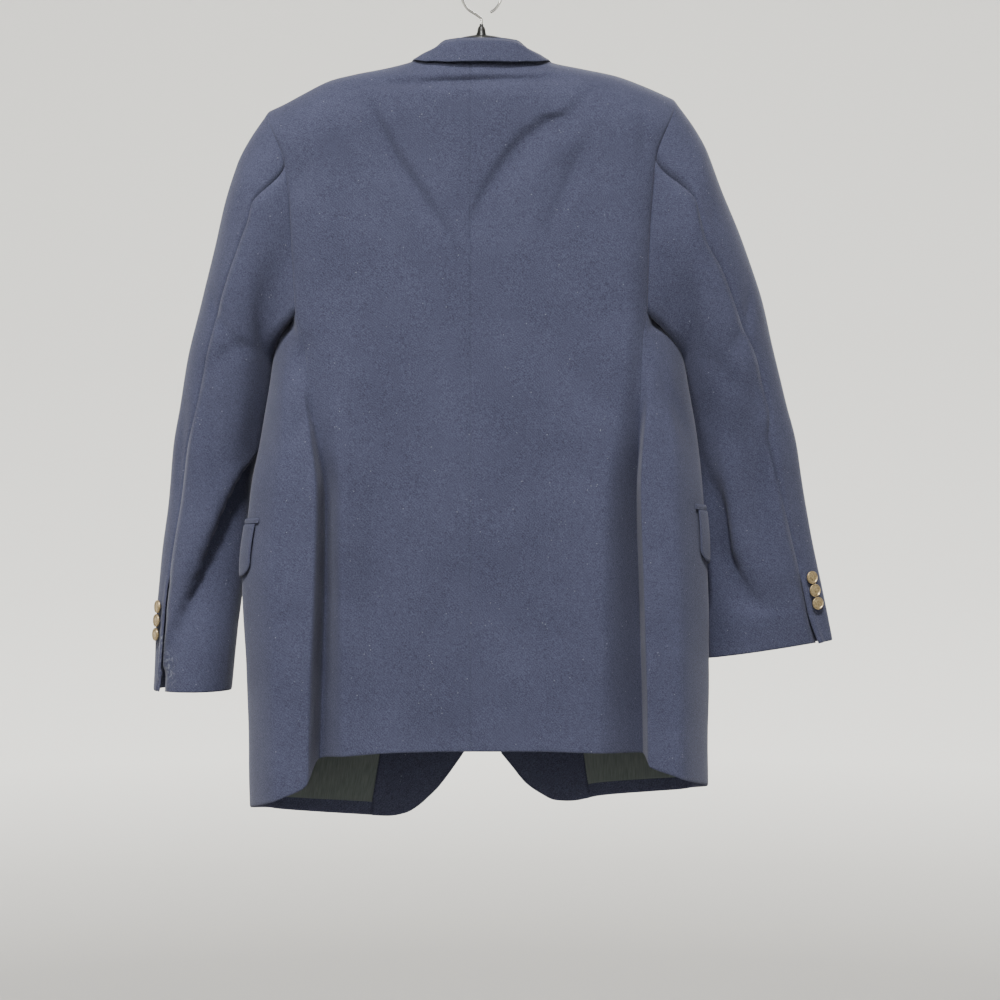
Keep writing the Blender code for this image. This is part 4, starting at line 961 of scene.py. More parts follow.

# %% Creases of the sleeves
SLEEVE_CREASES = {
    "left": [
        # the long fold that runs down the forearm, sharp on its outer side
        (17.0, 5, 50, [(7.6, 182), (8.4, 152), (9.1, 131), (10.2, 100), (10.9, 74), (11.4, 54)]),
        (-4.0, 12, 9, [(8.0, 146), (8.7, 118), (9.4, 96), (10.2, 70), (10.7, 50)]),
        # at the elbow
        (3.6, 8, 12, [(4.7, 50), (5.0, 69), (5.2, 88), (5.3, 100)]),
        (3.8, 9, 12, [(5.0, 128), (5.2, 108), (5.8, 80), (6.2, 66)]),
        (4.6, 12, 22, [(6.3, 62), (7.2, 84), (8.2, 108), (9.0, 122)]),
        (3.0, 14, 14, [(6.8, 34), (7.8, 44), (9.2, 50)]),
        (-2.6, 16, 16, [(5.6, 118), (6.8, 128), (8.0, 132)]),
        # from the armhole down the upper arm
        (5.0, 12, 24, [(0.6, 116), (2.0, 122), (3.6, 132), (5.2, 146)]),
        (2.4, 12, 12, [(0.4, 64), (1.6, 62), (3.2, 58)]),
        # the hidden side
        (6.0, 16, 20, [(6.0, 250), (7.0, 278), (7.8, 304)]),
        (4.2, 16, 20, [(8.0, 310), (9.0, 286), (10.2, 262)]),
        (3.4, 14, 16, [(2.0, 300), (3.6, 288), (5.0, 270)]),
        # the inner side swells up to the body
        (-6.4, 32, 36, [(1.4, 200), (3.2, 200), (5.0, 198), (7.4, 194), (9.8, 190)]),
        (-6.0, 28, 28, [(5.6, 184), (8.3, 184), (11.0, 184)]),
    ],
    "right": [
        # the dark cup under the cloth that hangs over the forearm
        (18.0, 16, 10, [(8.4, 158), (9.0, 147), (9.75, 145), (10.25, 131), (10.6, 118), (10.8, 98)]),
        (-5.0, 13, 13, [(7.4, 130), (8.2, 122), (9.2, 114), (10.0, 104)]),
        (8.0, 14, 18, [(7.4, 76), (8.2, 84), (9.2, 90), (10.0, 94)]),
        (-2.6, 14, 12, [(8.0, 60), (9.0, 66), (10.4, 72)]),
        # at the elbow
        (3.6, 9, 12, [(4.7, 44), (5.2, 66), (5.6, 92)]),
        (3.4, 10, 10, [(5.3, 124), (5.9, 108), (6.6, 92)]),
        (4.0, 12, 18, [(6.0, 58), (7.0, 78), (8.0, 104)]),
        (4.6, 12, 22, [(0.6, 114), (2.0, 120), (3.6, 128), (5.2, 140)]),
        (2.4, 12, 12, [(0.4, 66), (1.6, 62), (3.2, 58)]),
        (6.0, 16, 20, [(6.0, 250), (7.0, 278), (7.8, 304)]),
        (4.2, 16, 20, [(8.0, 310), (9.0, 286), (10.2, 262)]),
        (3.4, 14, 16, [(2.0, 300), (3.6, 288), (5.0, 270)]),
        (-6.4, 34, 36, [(1.4, 196), (3.2, 194), (5.4, 190), (9.8, 190)]),
        (-5.0, 26, 26, [(5.6, 184), (7.6, 184), (9.8, 184)]),
    ],
}
print("creases of the sleeves:", {side: len(rows) for side, rows in SLEEVE_CREASES.items()})

# %% How deep a sleeve's creases are
ROW_DEGREES = 55.0       # one row of the table is about as long as this many degrees are wide


def sleeve_press(steps, turned, rows):
    """Depth of the sleeve's creases in millimetres, by row of the table and angle."""
    flat = np.stack([steps * ROW_DEGREES, turned], -1)
    scaled = []
    for depth, before, after, points in rows:
        scaled.append((depth, before, after, [(row * ROW_DEGREES, angle) for row, angle in points]))
    return crease_depth(flat, scaled)


# %% The armhole, where a sleeve starts
UPRIGHT_POINTS = 56      # points up the back and up the front of an armhole
FLOOR_POINTS = 42        # and along its lowest part


def armhole_ring(side):
    """Points of the armhole from the shoulder down the back and up the front, with the direction in
    which the body's cloth would go on, its normal, and the place of the underarm."""
    sign = SIGN[side]
    back_s, front_s = STATION["seam"] * sign, STATION["front_seam"] * sign
    back_w = np.linspace(2.0, float(underarm_w(np.array(back_s, float))), UPRIGHT_POINTS)
    front_w = np.linspace(float(underarm_w(np.array(front_s, float))), 2.0, UPRIGHT_POINTS)
    floor_s = np.linspace(STATION["seam"], STATION["front_seam"], FLOOR_POINTS) * sign
    s = np.concatenate([np.full(len(back_w), back_s), floor_s[1:-1], np.full(len(front_w) - 1, front_s)])
    w = np.concatenate([back_w, underarm_w(floor_s)[1:-1], front_w[:-1]])
    point, normal = body_point(s, w), normals(body_point, s, w)
    outward, upward = directions(body_point, s, w)
    outward = outward * sign
    place = np.arange(len(s))
    floor_start, floor_end = len(back_w) - 1, len(back_w) + len(floor_s) - 2
    on_back, on_front = place <= floor_start, place >= floor_end
    on_floor = (place >= floor_start) & (place <= floor_end)
    go_on = outward * on_back[:, None] - outward * on_front[:, None] + upward * on_floor[:, None]
    return point, go_on, normal, floor_start + (len(floor_s) - 1) // 2


# %% A sleeve's tube of rings
SLEEVE_TABLES = {"left": SLEEVE_LEFT, "right": SLEEVE_RIGHT}
HEAD_REACH = 0.055       # over this length the tube eases out of the armhole's own shape


def sleeve_tube(side, steps, armhole, bottom):
    """Rings of points from the table, each with as many points as the armhole, and both seams' places."""
    table = columns_of(SLEEVE_COLUMNS, SLEEVE_TABLES[side])
    row = {name: curve(np.arange(len(column)), column, steps)[:, None] for name, column in table.items()}
    length = np.concatenate([[0], np.cumsum(np.linalg.norm(np.diff(armhole, axis=0, append=armhole[:1]),
                                                           axis=-1))])
    half = length[bottom]
    angle = np.where(length <= half, 180 * length / half,
                     180 + 180 * (length - half) / (length[-1] - half))[:-1]
    back = int(np.argmin(np.abs(angle - table["back_seam"][0])))
    inner = int(np.argmin(np.abs(angle - table["inner_seam"][0])))
    turned = np.stack([np.interp(angle, [0, angle[back], 180, angle[inner], 360],
                                 [0, row["back_seam"][ring, 0], 180, row["inner_seam"][ring, 0], 360])
                       for ring in range(len(steps))])
    cosine, sine = np.cos(np.radians(turned)), np.sin(np.radians(turned))
    x = (row["outer_x"] + row["inner_x"]) / 2 + (row["outer_x"] - row["inner_x"]) / 2 * cosine
    z = (row["outer_z"] + row["inner_z"]) / 2 + (row["outer_z"] - row["inner_z"]) / 2 * cosine
    y = row["mid_y"] - row["half_depth"] * sine
    points = np.stack([x, y, z], -1) * MM
    press = sleeve_press(steps[:, None] + 0 * turned, turned, SLEEVE_CREASES[side])
    press = press + unevenness(points / MM)
    centre = points.mean(axis=1, keepdims=True)
    points = points + unit(centre - points) * press[..., None] * MM
    travelled = np.concatenate([np.zeros((1, points.shape[1])),
                                np.cumsum(np.linalg.norm(np.diff(points, axis=0), axis=-1), axis=0)])
    ease = np.clip(1 - travelled / HEAD_REACH, 0, 1)
    ease = ease * ease * (3 - 2 * ease)
    return points + (armhole - points[0]) * ease[..., None], back, inner


def around_rings(points):
    """Unit steps round a closed tube of rings."""
    return unit(np.roll(points, -1, axis=1) - np.roll(points, 1, axis=1))


# %% Both sleeves, each as a top and an under sleeve
LAST_ROW = len(SLEEVE_LEFT) - 1.0
VENT_ROWS = 1.9          # rows of the table from the cuff up to the top of the vent
VENT_LIFT = 0.0016       # the top sleeve's vent edge stands this far over the under sleeve
VENT_SPREAD = 0.0030     # and this much further at the cuff
VENT_START = 0.25        # rows of the table over which the edge comes up
VENT_REACH = 9           # columns over which it rises
SLEEVE_LENGTH = 660      # about its length in millimetres, which sets its number of rings
for side in ("left", "right"):
    armhole, go_on, body_out, bottom = armhole_ring(side)
    steps = spaced(0, SLEEVE_LENGTH, STEP) / SLEEVE_LENGTH * LAST_ROW
    points, back, inner = sleeve_tube(side, steps, armhole - go_on * TUCK, bottom)
    outward = points - points.mean(axis=1, keepdims=True)
    around = around_rings(points)
    normal = unit(np.cross(around, np.gradient(points, axis=0)))
    facing_out = int(math.copysign(1, float((normal * outward).sum())))
    normal = normal * facing_out
    normal[0] = body_out
    into_vent = steps - (LAST_ROW - VENT_ROWS)
    vent = VENT_LIFT * np.clip(into_vent / VENT_START, 0, 1) ** 2
    vent += VENT_SPREAD * np.clip(into_vent / VENT_ROWS, 0, 1) ** 3
    count = points.shape[1]
    for part, columns in (("under", np.arange(back, inner + 1)),
                          ("top", np.arange(inner, back + count + 1) % count)):
        outer, out = points[:, columns].copy(), normal[:, columns].copy()
        outer[:, 0] -= around[:, columns[0]] * TUCK
        outer[:, -1] += around[:, columns[-1]] * TUCK
        reach = np.linspace(0, 1, VENT_REACH) ** 1.5
        if part == "top":
            outer[:, -VENT_REACH:] += out[:, -VENT_REACH:] * (vent[:, None] * reach)[..., None]
        else:
            outer[:, :VENT_REACH] -= out[:, :VENT_REACH] * (vent[:, None] * reach[::-1])[..., None]
        # rows go up from the cuff, and columns go round so that the faces point outwards
        outer, out = outer[::-1, ::-facing_out], out[::-1, ::-facing_out]
        node_name = "%s_sleeve_%s" % (part, side)
        sleeve = shell("cloth_" + node_name, outer, out, CLOTH, wool, edges=(FREE, SEAM, SEAM, SEAM))
        dress(sleeve, node_name)

# %% [markdown]
# ## Collar
# The collar stands up from the neck seam, folds over and falls on the yoke.  Its seam follows the panels'
# own top edges; from there a table gives steps to the fold, to the roll of the fall and to its edge.

# %% The cut of the collar
# The collar, from the middle of the back neck to its point in front.  place: millimetres from the
# middle to the neck point, at 74, and beyond it 100 for each unit of w down the roll line.  The rest
# are steps from the neck seam to the fold, to the roll of the fall and to its edge: away from the
# middle, forwards and up.
COLLAR_COLUMNS = ("place", "fold_out", "fold_y", "fold_up", "roll_out", "roll_y", "roll_up",
                  "edge_out", "edge_y", "edge_up")
COLLAR = [
    (0, 0, 3, 27, 0, -8, 20, 0, -13, -3),
    (20, 0, 3, 27, 0, -8, 20, 2, -13, -3),
    (40, -1, 4, 24, 1, -7, 17, 5, -12, -4),
    (55, -4, 5, 15, 1, -5, 11, 7, -12, -4),
    (66, -6, 4, 9, 1, -3, 7, 8, -11, -2),
    (74, -6, 2, 6, 1, 0, 4, 8, -5, 0),
    (104, -3, 4, 6, 4, 4, 6, 18, 5, -3),
    (134, -2, 6, 4, 5, 9, 2, 25, 10, -11),
    (162, -1, 6, 2, 5, 9, 0, 25, 9, -17),
]
print("places along the collar:", len(COLLAR))

# %% Collar
COLLAR_SEAT = 0.0004     # from the neck edge of the panels to the collar's stand
COLLAR_KNOTS = np.array([0.0, 25, 38, 62])       # along the cloth: seam, fold, roll, edge
COLLAR_DOWN_ROLL_LINE = 0.88                     # how far down the roll line it runs, in w


def station_at_x(x):
    """The station of the back panel whose top lies at x millimetres."""
    stations = np.linspace(-STATION["seam"], STATION["seam"], 401)
    return float(np.interp(x, plain_point(stations, 2.0)[:, 0], stations))


def half_neck_path(side):
    """The neck seam of one half, from the middle of the back: stations, heights and places."""
    sign = SIGN[side]
    neck_point = station_at_x(sign * NECK_HALF_WIDTH)
    s = np.linspace(0, 1, 32)[1:] ** 0.8 * neck_point
    w = neck_w(s)
    x = np.abs(plain_point(s, 2.0)[:, 0])
    roll_w = 2.0 - spaced(0, 100, STEP, first=False)[1:] / 100 * COLLAR_DOWN_ROLL_LINE
    s = np.concatenate([s, np.full(len(roll_w), sign * STATION["front_edge"])])
    return s, np.concatenate([w, roll_w]), np.concatenate([x, NECK_HALF_WIDTH + 100 * (2 - roll_w)])


left_s, left_w, left_place = half_neck_path("left")
right_s, right_w, right_place = half_neck_path("right")
s = np.concatenate([left_s[::-1], [0.0], right_s])
w = np.concatenate([left_w[::-1], [float(neck_w(np.array(0.0)))], right_w])
place = np.concatenate([left_place[::-1], [0.0], right_place])
point, normal = body_point(s, w), normals(body_point, s, w)
along = unit(np.gradient(point, axis=0))
seat = (point - normal * CLOTH + unit(np.cross(normal, along)) * COLLAR_SEAT) / MM
table = columns_of(COLLAR_COLUMNS, COLLAR)
lines = [seat]
for name in ("fold", "roll", "edge"):
    out, forward, up = (curve(table["place"], table[name + axis], place) for axis in ("_out", "_y", "_up"))
    lines.append(seat + np.stack([out * np.sign(s), forward, up], -1))
lines = np.stack(lines, 1)
across = spaced(0, COLLAR_KNOTS[-1], 2.0, first=False)
points = np.stack([np.stack([curve(COLLAR_KNOTS, row[:, axis], across) for axis in range(3)], -1)
                   for row in lines]) * MM
face = unit(np.cross(np.gradient(points, axis=1), np.gradient(points, axis=0)))
face[:, 0] = -normal
collar = shell("cloth_collar", points, face, CLOTH, wool, edges=(FREE, FREE, FREE, SEAM))
dress(collar, "collar")

# %% [markdown]
# ## Hanger and hook
# The moulded hanger shows as a low hump over the collar and a small bell round the wire.  Its arms are a
# loft of rounded sections under the shoulders.  The bell is a turned profile, and a union makes one body
# of both.  The hook is a tube swept along a few given points, with round ends.

# %% Turned and swept meshes
RIM_FROM, RIM_WIDTH = 0.86, 0.1      # shares of the radius over which notches grow
BEAD_SLANT = 900         # radians for each metre up, so that the notches lean


def ring_faces(rings, sides):
    """Quads between rings of points, and a fan over the first and the last ring's pole."""
    last = rings * sides
    ahead = [(k + 1) % sides for k in range(sides)]
    faces = [(r * sides + k, r * sides + ahead[k], (r + 1) * sides + ahead[k], (r + 1) * sides + k)
             for r in range(rings - 1) for k in range(sides)]
    faces += [(last, ahead[k], k) for k in range(sides)]
    faces += [(last + 1, last - sides + k, last - sides + ahead[k]) for k in range(sides)]
    return faces


def swept(name, path, radii, sides, material):
    """A tube along a path; its radius may change, and both ends close in a point."""
    tangent = unit(np.gradient(path, axis=0))
    side = unit(np.cross(tangent, (0.0, 1.0, 0.0)))
    other = np.cross(side, tangent)
    angle = 2 * math.pi * np.arange(sides) / sides
    cosine, sine = np.cos(angle)[None, :, None], np.sin(angle)[None, :, None]
    rings = path[:, None] + radii[:, None, None] * (side[:, None] * cosine + other[:, None] * sine)
    points = np.concatenate([rings.reshape(-1, 3), path[:1] - tangent[:1] * radii[0] * 0.5,
                             path[-1:] + tangent[-1:] * radii[-1] * 0.5])
    piece = add_piece(name, points, ring_faces(len(path), sides), material)
    face_outwards(piece)
    return piece


def turned(name, profile, sides, material, place=Matrix.Identity(4), beads=0, bead=0.0):
    """A profile of radius and height turned round Z; beads is the number of notches on its rim."""
    radius, height = np.array(profile).T
    angle = 2 * math.pi * np.arange(sides) / sides
    on_rim = np.clip((radius / radius.max() - RIM_FROM) / RIM_WIDTH, 0, 1)
    rope = 1 + on_rim[:, None] * bead * np.cos(beads * angle + height[:, None] * BEAD_SLANT)
    ring = np.stack([radius[:, None] * rope * np.cos(angle), radius[:, None] * rope * np.sin(angle),
                     height[:, None] + 0 * angle], -1)
    points = np.concatenate([ring.reshape(-1, 3), [[0, 0, height[0]], [0, 0, height[-1]]]])
    turn = np.array(place)
    piece = add_piece(name, points @ turn[:3, :3].T + turn[:3, 3], ring_faces(len(radius), sides), material)
    face_outwards(piece)
    return piece


def face_outwards(piece):
    """Merge doubles and turn all faces outwards."""
    work = bmesh.new()
    work.from_mesh(piece.data)
    bmesh.ops.remove_doubles(work, verts=work.verts, dist=1e-7)
    bmesh.ops.recalc_face_normals(work, faces=work.faces)
    work.to_mesh(piece.data)
    work.free()


# %% Hanger
HANGER_REACH = 0.178     # from the middle to the end of an arm
ARM_HALF_DEPTH = 0.0085
ARM_HEIGHT = 0.017
ARM_CLEARANCE = 0.0009   # to the cloth above
ARM_END = 0.012          # length over which an arm rounds off
ARM_RINGS, ARM_SIDES = 161, 28
LIP, LIP_WIDTH = 0.05, 0.35          # the moulding's thicker lower edge: share and radians
# half width and height of the hump at the neck, in millimetres
HANGER_HUMP = [(0, -67), (25, -71.5), (50, -86), (66, -99), (78, -104), (96, -108)]
BELL = [(0.0010, -0.0551), (0.0019, -0.0556), (0.0023, -0.0563), (0.0022, -0.0571), (0.0024, -0.0578),
        (0.0034, -0.0588), (0.0042, -0.0604), (0.0047, -0.0630), (0.0051, -0.0655), (0.0060, -0.0672),
        (0.0063, -0.0700), (0.0063, -0.0755)]
BELL_SIDES = 40


def arm_top(x):
    """The top of the arms, in metres: a hump at the neck, then just under the shoulders' cloth."""
    hump_x, hump_z = np.array(HANGER_HUMP, float).T
    shoulder_x, shoulder_z = np.array(SHOULDER, float).T
    under_cloth = curve(shoulder_x, shoulder_z, x) - (CLOTH + ARM_CLEARANCE) / MM
    return np.where(np.abs(x) < hump_x[-1], curve(hump_x, hump_z, np.abs(x)), under_cloth) * MM


x = np.linspace(-HANGER_REACH, HANGER_REACH, ARM_RINGS)[:, None]
end = np.clip((HANGER_REACH - np.abs(x)) / ARM_END, 0, 1)
swell = np.sqrt(np.clip(1 - (1 - end) ** 2, 0.05, 1))
angle = 2 * math.pi * np.arange(ARM_SIDES)[None, :] / ARM_SIDES
lip = 1 + LIP * np.exp(-((angle - math.pi) / LIP_WIDTH) ** 2)
rings = np.stack([x + 0 * angle, ARM_HALF_DEPTH * swell * np.sin(angle) * lip,
                  arm_top(x / MM) - ARM_HEIGHT * (0.65 + 0.35 * swell) * (1 - np.cos(angle)) / 2], -1)
poles = np.stack([rings[0].mean(axis=0), rings[-1].mean(axis=0)])
arms = add_piece("hanger_arms", np.concatenate([rings.reshape(-1, 3), poles]),
                 ring_faces(ARM_RINGS, ARM_SIDES), plastic)
face_outwards(arms)
bell = turned("hanger_bell", BELL, BELL_SIDES, plastic)
join = arms.modifiers.new("join", "BOOLEAN")
join.operation = "UNION"
join.object = bell
evaluated = arms.evaluated_get(bpy.context.evaluated_depsgraph_get())
joined = bpy.data.meshes.new_from_object(evaluated)
hanger = bpy.data.objects.new("moulded_hanger", joined)
bpy.context.scene.collection.objects.link(hanger)
for spare in (arms, bell):
    bpy.data.objects.remove(spare)
stand_for(hanger, "hanger_body")
print("hanger:", len(joined.polygons), "faces")

# %% Hook
HOOK_WIRE = 0.0032
HOOK_RADIUS = 0.0230     # to the middle of the wire
SHANK_FOOT = -0.0717
BELL_TOP = -0.0560
LOOP_START, LOOP_END, LOOP_STEP = 236, -65, -6       # degrees round the loop, from the shank to the tip
WIRE_SIDES = 18
TIP_STEPS = np.array([0.0, 0.15, 0.35, 0.6, 0.9, 1.3, 1.6]) * MM
TIP_LENGTH = 0.003
WIRE_RINGS = 150
loop_angle = np.radians(np.arange(LOOP_START, LOOP_END, LOOP_STEP))
loop = np.stack([HOOK_RADIUS * np.cos(loop_angle), 0 * loop_angle,
                 HOOK_WIRE / 2 - HOOK_RADIUS + HOOK_RADIUS * np.sin(loop_angle)], -1)
bend_z = (BELL_TOP + 0.006) * 0.55 + loop[0, 2] * 0.45
shank = np.array([(0, 0, SHANK_FOOT), (0, 0, BELL_TOP - 0.004), (0, 0, BELL_TOP + 0.006),
                  (loop[0, 0] * 0.35, 0, bend_z)])
route = np.concatenate([shank, loop])
passed = np.concatenate([[0], np.cumsum(np.linalg.norm(np.diff(route, axis=0), axis=1))])
between = np.linspace(TIP_LENGTH, passed[-1] - TIP_LENGTH, WIRE_RINGS)
read_at = np.concatenate([TIP_STEPS, between, passed[-1] - TIP_STEPS[::-1]])
path = np.stack([curve(passed, route[:, axis], read_at) for axis in range(3)], -1)
from_tip = np.minimum(read_at, passed[-1] - read_at)
to_full = 1 - np.clip(from_tip / (HOOK_WIRE / 2), 0, 1)
radii = HOOK_WIRE / 2 * np.sqrt(np.clip(1 - to_full ** 2, 0.01, 1))
hook = swept("wire_hook", path, radii, WIRE_SIDES, wire)
stand_for(hook, "hanger_hook")
print("hook:", len(hook.data.polygons), "faces, wire", HOOK_WIRE / MM, "mm")

# %% [markdown]
# ## Buttons
# Each gilt button is a stamped cap on a shank: a shallow dome in a raised, finely notched rim.  A cylinder
# would look like a coin, so the profile is turned point by point, and each button is set on the cloth at
# the place where the frame has it, facing along the cloth's normal.

# %% Buttons
SHANK = 0.0022
SHANK_RADIUS = 0.26      # as a share of the rim's
BUTTON_SEAT = 0.0005     # from the cloth to the shank's foot, which is flat on a round sleeve
BUTTON_SIDES = 64
NOTCH_DEPTH = 0.012      # as a share of the radius
SLEEVE_BUTTON = (0.0075, 32)     # radius, and notches on the rim
FRONT_BUTTON = (0.0105, 48)
# radius as a share of the rim's, height over the shank in metres
CAP = [(0.04, 0.0026), (0.22, 0.00257), (0.42, 0.00245), (0.60, 0.0022), (0.70, 0.0019), (0.75, 0.0019),
       (0.80, 0.0023), (0.86, 0.0028), (0.92, 0.0029), (0.97, 0.0026), (1.00, 0.0019), (0.99, 0.0011),
       (0.94, 0.0005), (0.80, 0.0002), (0.34, 0.0001), (0.28, 0.0000), (0.27, -0.0008)]


def middle_of(node_name):
    """The middle of a piece of the frame."""
    low, high = (np.array(corner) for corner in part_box(node_name))
    return (low + high) / 2


def nearest_on(cloth, place):
    """The point of a panel's grid that is nearest to a place, with its normal."""
    grid, out = made[cloth]["outer"].reshape(-1, 3), made[cloth]["normal"].reshape(-1, 3)
    nearest = int(np.argmin(np.linalg.norm(grid - place, axis=-1)))
    return grid[nearest], out[nearest]


def set_button(node_name, cloth, radius, beads):
    """Turn a button and set it where the frame has it, on the nearest point of a panel."""
    middle = middle_of(node_name)
    point, normal = nearest_on(cloth, middle)
    foot = middle - normal * float((middle - point) @ normal)
    turn = Vector(normal).to_track_quat("Z", "Y").to_matrix().to_4x4()
    place = Matrix.Translation(Vector(foot + normal * (BUTTON_SEAT + SHANK))) @ turn
    profile = [(share * radius, height) for share, height in CAP] + [(SHANK_RADIUS * radius, -SHANK)]
    button = turned("gilt_" + node_name, profile, BUTTON_SIDES, gilt, place, beads, NOTCH_DEPTH)
    stand_for(button, node_name)


for side in ("left", "right"):
    for number in (1, 2, 3):
        set_button("sleeve_button_%s_%d" % (side, number), "cloth_top_sleeve_" + side, *SLEEVE_BUTTON)
for name in ("top", "low"):
    set_button("front_button_" + name, "cloth_front_left", *FRONT_BUTTON)
print("buttons set: 6 on the sleeves, 2 in front")

# %% [markdown]
# ## Stitches
# A tailor runs fine pick stitches just inside the edges of lapels, fronts, collar and flaps, and works the
# buttonholes over with close thread.  Both are one small stitch repeated along a line, so a Geometry Nodes
# tree does it: the line is resampled, a stitch is set on each point along the line, and the copies are made
# real.  Pitch, length and thickness stay inputs, so one tree serves both.

# %% Helpers for trees of Geometry Nodes
def open_tree(name, inputs):
    """A tree that takes and gives geometry, and the sockets of its named inputs."""
    tree = bpy.data.node_groups.new(name, "GeometryNodeTree")
    tree.interface.new_socket("Geometry", in_out="INPUT", socket_type="NodeSocketGeometry")
    for key, kind in inputs.items():
        tree.interface.new_socket(key, in_out="INPUT", socket_type=kind)
    tree.interface.new_socket("Geometry", in_out="OUTPUT", socket_type="NodeSocketGeometry")
    return tree, node(tree, "NodeGroupInput").outputs


def close_tree(tree, points, shape, rotation, scale, material):
    """Set a shape on each point, make the copies real, give them a material and end the tree."""
    inputs = {"Points": points, "Instance": shape, "Rotation": rotation, "Scale": scale}
    copies = node(tree, "GeometryNodeInstanceOnPoints", inputs)
    real = node(tree, "GeometryNodeRealizeInstances", {"Geometry": copies.outputs["Instances"]})
    inputs = {"Geometry": real.outputs["Geometry"], "Material": material}
    finish = node(tree, "GeometryNodeSetMaterial", inputs)
    node(tree, "NodeGroupOutput", {"Geometry": finish.outputs["Geometry"]})


def grown(name, base, tree, values):
    """Run a tree on a mesh, keep its result as a plain mesh and tie it to the body."""
    carrier = bpy.data.objects.new(name + "_base", base)
    bpy.context.scene.collection.objects.link(carrier)
    modifier = carrier.modifiers.new("grow", "NODES")
    modifier.node_group = tree
    keys = {item.name: item.identifier for item in tree.interface.items_tree if item.in_out == "INPUT"}
    for key, value in values.items():
        modifier[keys[key]] = value
    evaluated = carrier.evaluated_get(bpy.context.evaluated_depsgraph_get())
    mesh = bpy.data.meshes.new_from_object(evaluated)
    mesh.shade_smooth()
    bpy.data.objects.remove(carrier)
    piece = bpy.data.objects.new(name, mesh)
    bpy.context.scene.collection.objects.link(piece)
    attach(piece, "root")
    print(name, "has", len(mesh.polygons), "faces")


# %% A tree that repeats a stitch along a line
STITCH_INPUTS = ("Pitch", "Length", "Thickness", "Turn")


def stitch_tree():
    """Named inputs: Pitch, Length and Thickness of the stitches, and Turn from the line's direction."""
    tree, given = open_tree("stitches along a line", dict.fromkeys(STITCH_INPUTS, "NodeSocketFloat"))
    line = node(tree, "GeometryNodeMeshToCurve", {"Mesh": given["Geometry"]})
    spread = node(tree, "GeometryNodeResampleCurve", {"Curve": line.outputs["Curve"]}, mode="LENGTH")
    tree.links.new(given["Pitch"], spread.inputs["Length"])
    stitch = node(tree, "GeometryNodeMeshUVSphere", {"Segments": 6, "Rings": 5, "Radius": 0.5})
    size = node(tree, "ShaderNodeCombineXYZ", {"X": given["Thickness"], "Y": given["Thickness"],
                                              "Z": given["Length"]})
    tangent = node(tree, "GeometryNodeInputTangent").outputs["Tangent"]
    aligned = node(tree, "FunctionNodeAlignRotationToVector", {"Vector": tangent}, axis="Z")
    turn = node(tree, "ShaderNodeCombineXYZ", {"Y": given["Turn"]})
    inputs = {"Rotation": aligned.outputs["Rotation"], "Rotate By": turn.outputs["Vector"]}
    spin = node(tree, "FunctionNodeRotateRotation", inputs, rotation_space="LOCAL")
    close_tree(tree, spread.outputs["Curve"], stitch.outputs["Mesh"], spin.outputs["Rotation"],
               size.outputs["Vector"], thread)
    return tree


stitches = stitch_tree()
print("the stitch tree has", len(stitches.nodes), "nodes")


def lines_mesh(name, lines):
    """A mesh of edges only, one run for each line of points."""
    points, edges = [], []
    for line in lines:
        edges += [(len(points) + k, len(points) + k + 1) for k in range(len(line) - 1)]
        points += list(line)
    mesh = bpy.data.meshes.new(name)
    mesh.from_pydata([tuple(map(float, point)) for point in points], edges, [])
    return mesh


# %% Pick stitches inside the edges
PICK_COLUMN = 5          # columns of a panel's grid from its edge, about 6 mm
PICK_LIFT = 0.00004      # a pick stitch almost sinks into the cloth


def inside_edge(cloth, edge, first, last):
    """Points a little inside an edge of a panel, from one share of its length to another."""
    grid = made[cloth]["outer"] + made[cloth]["normal"] * PICK_LIFT
    lines = {"left": grid[:, PICK_COLUMN], "right": grid[:, -1 - PICK_COLUMN], "bottom": grid[PICK_COLUMN]}
    line = lines[edge]
    return line[int(first * len(line)):int(last * len(line))]


pick_lines = []
for side, other in (("left", "right"), ("right", "left")):
    pick_lines.append(inside_edge("cloth_front_" + side, side, 0.02, 0.44))
    pick_lines.append(inside_edge("cloth_lapel_" + side, other, 0.04, 0.98))
    pick_lines.append(inside_edge("cloth_flap_" + side, "bottom", 0.10, 0.90))
pick_lines.append(inside_edge("cloth_collar", "right", 0.05, 0.95))
grown("pick_stitches", lines_mesh("pick lines", pick_lines), stitches,
      {"Pitch": 0.0052, "Length": 0.0013, "Thickness": 0.00034, "Turn": 0.0})

# %% Buttonholes
HOLE_LENGTH = 0.022
HOLE_HALF_WIDTH = 0.0011
HOLE_LIFT = 0.0002
HOLE_END = 0.5           # power that makes its ends round and its sides long
HOLE_SHIFT = 0.006       # from the button's middle to the hole's
LAPEL_HOLE_ROW = -9      # a row of the lapel's grid under its upper edge


def hole_line(cloth, middle, direction):
    """A long loop round a buttonhole on a panel's nearest point."""
    point, normal = nearest_on(cloth, middle)
    long_way = unit(direction - normal * float(direction @ normal))
    short_way = np.cross(normal, long_way)
    loop = []
    for degrees in range(0, 361, 12):
        cosine, sine = math.cos(math.radians(degrees)), math.sin(math.radians(degrees))
        reach = HOLE_LENGTH / 2 * math.copysign(abs(cosine) ** HOLE_END, cosine)
        loop.append(point + normal * HOLE_LIFT + long_way * reach + short_way * HOLE_HALF_WIDTH * sine)
    return np.array(loop)


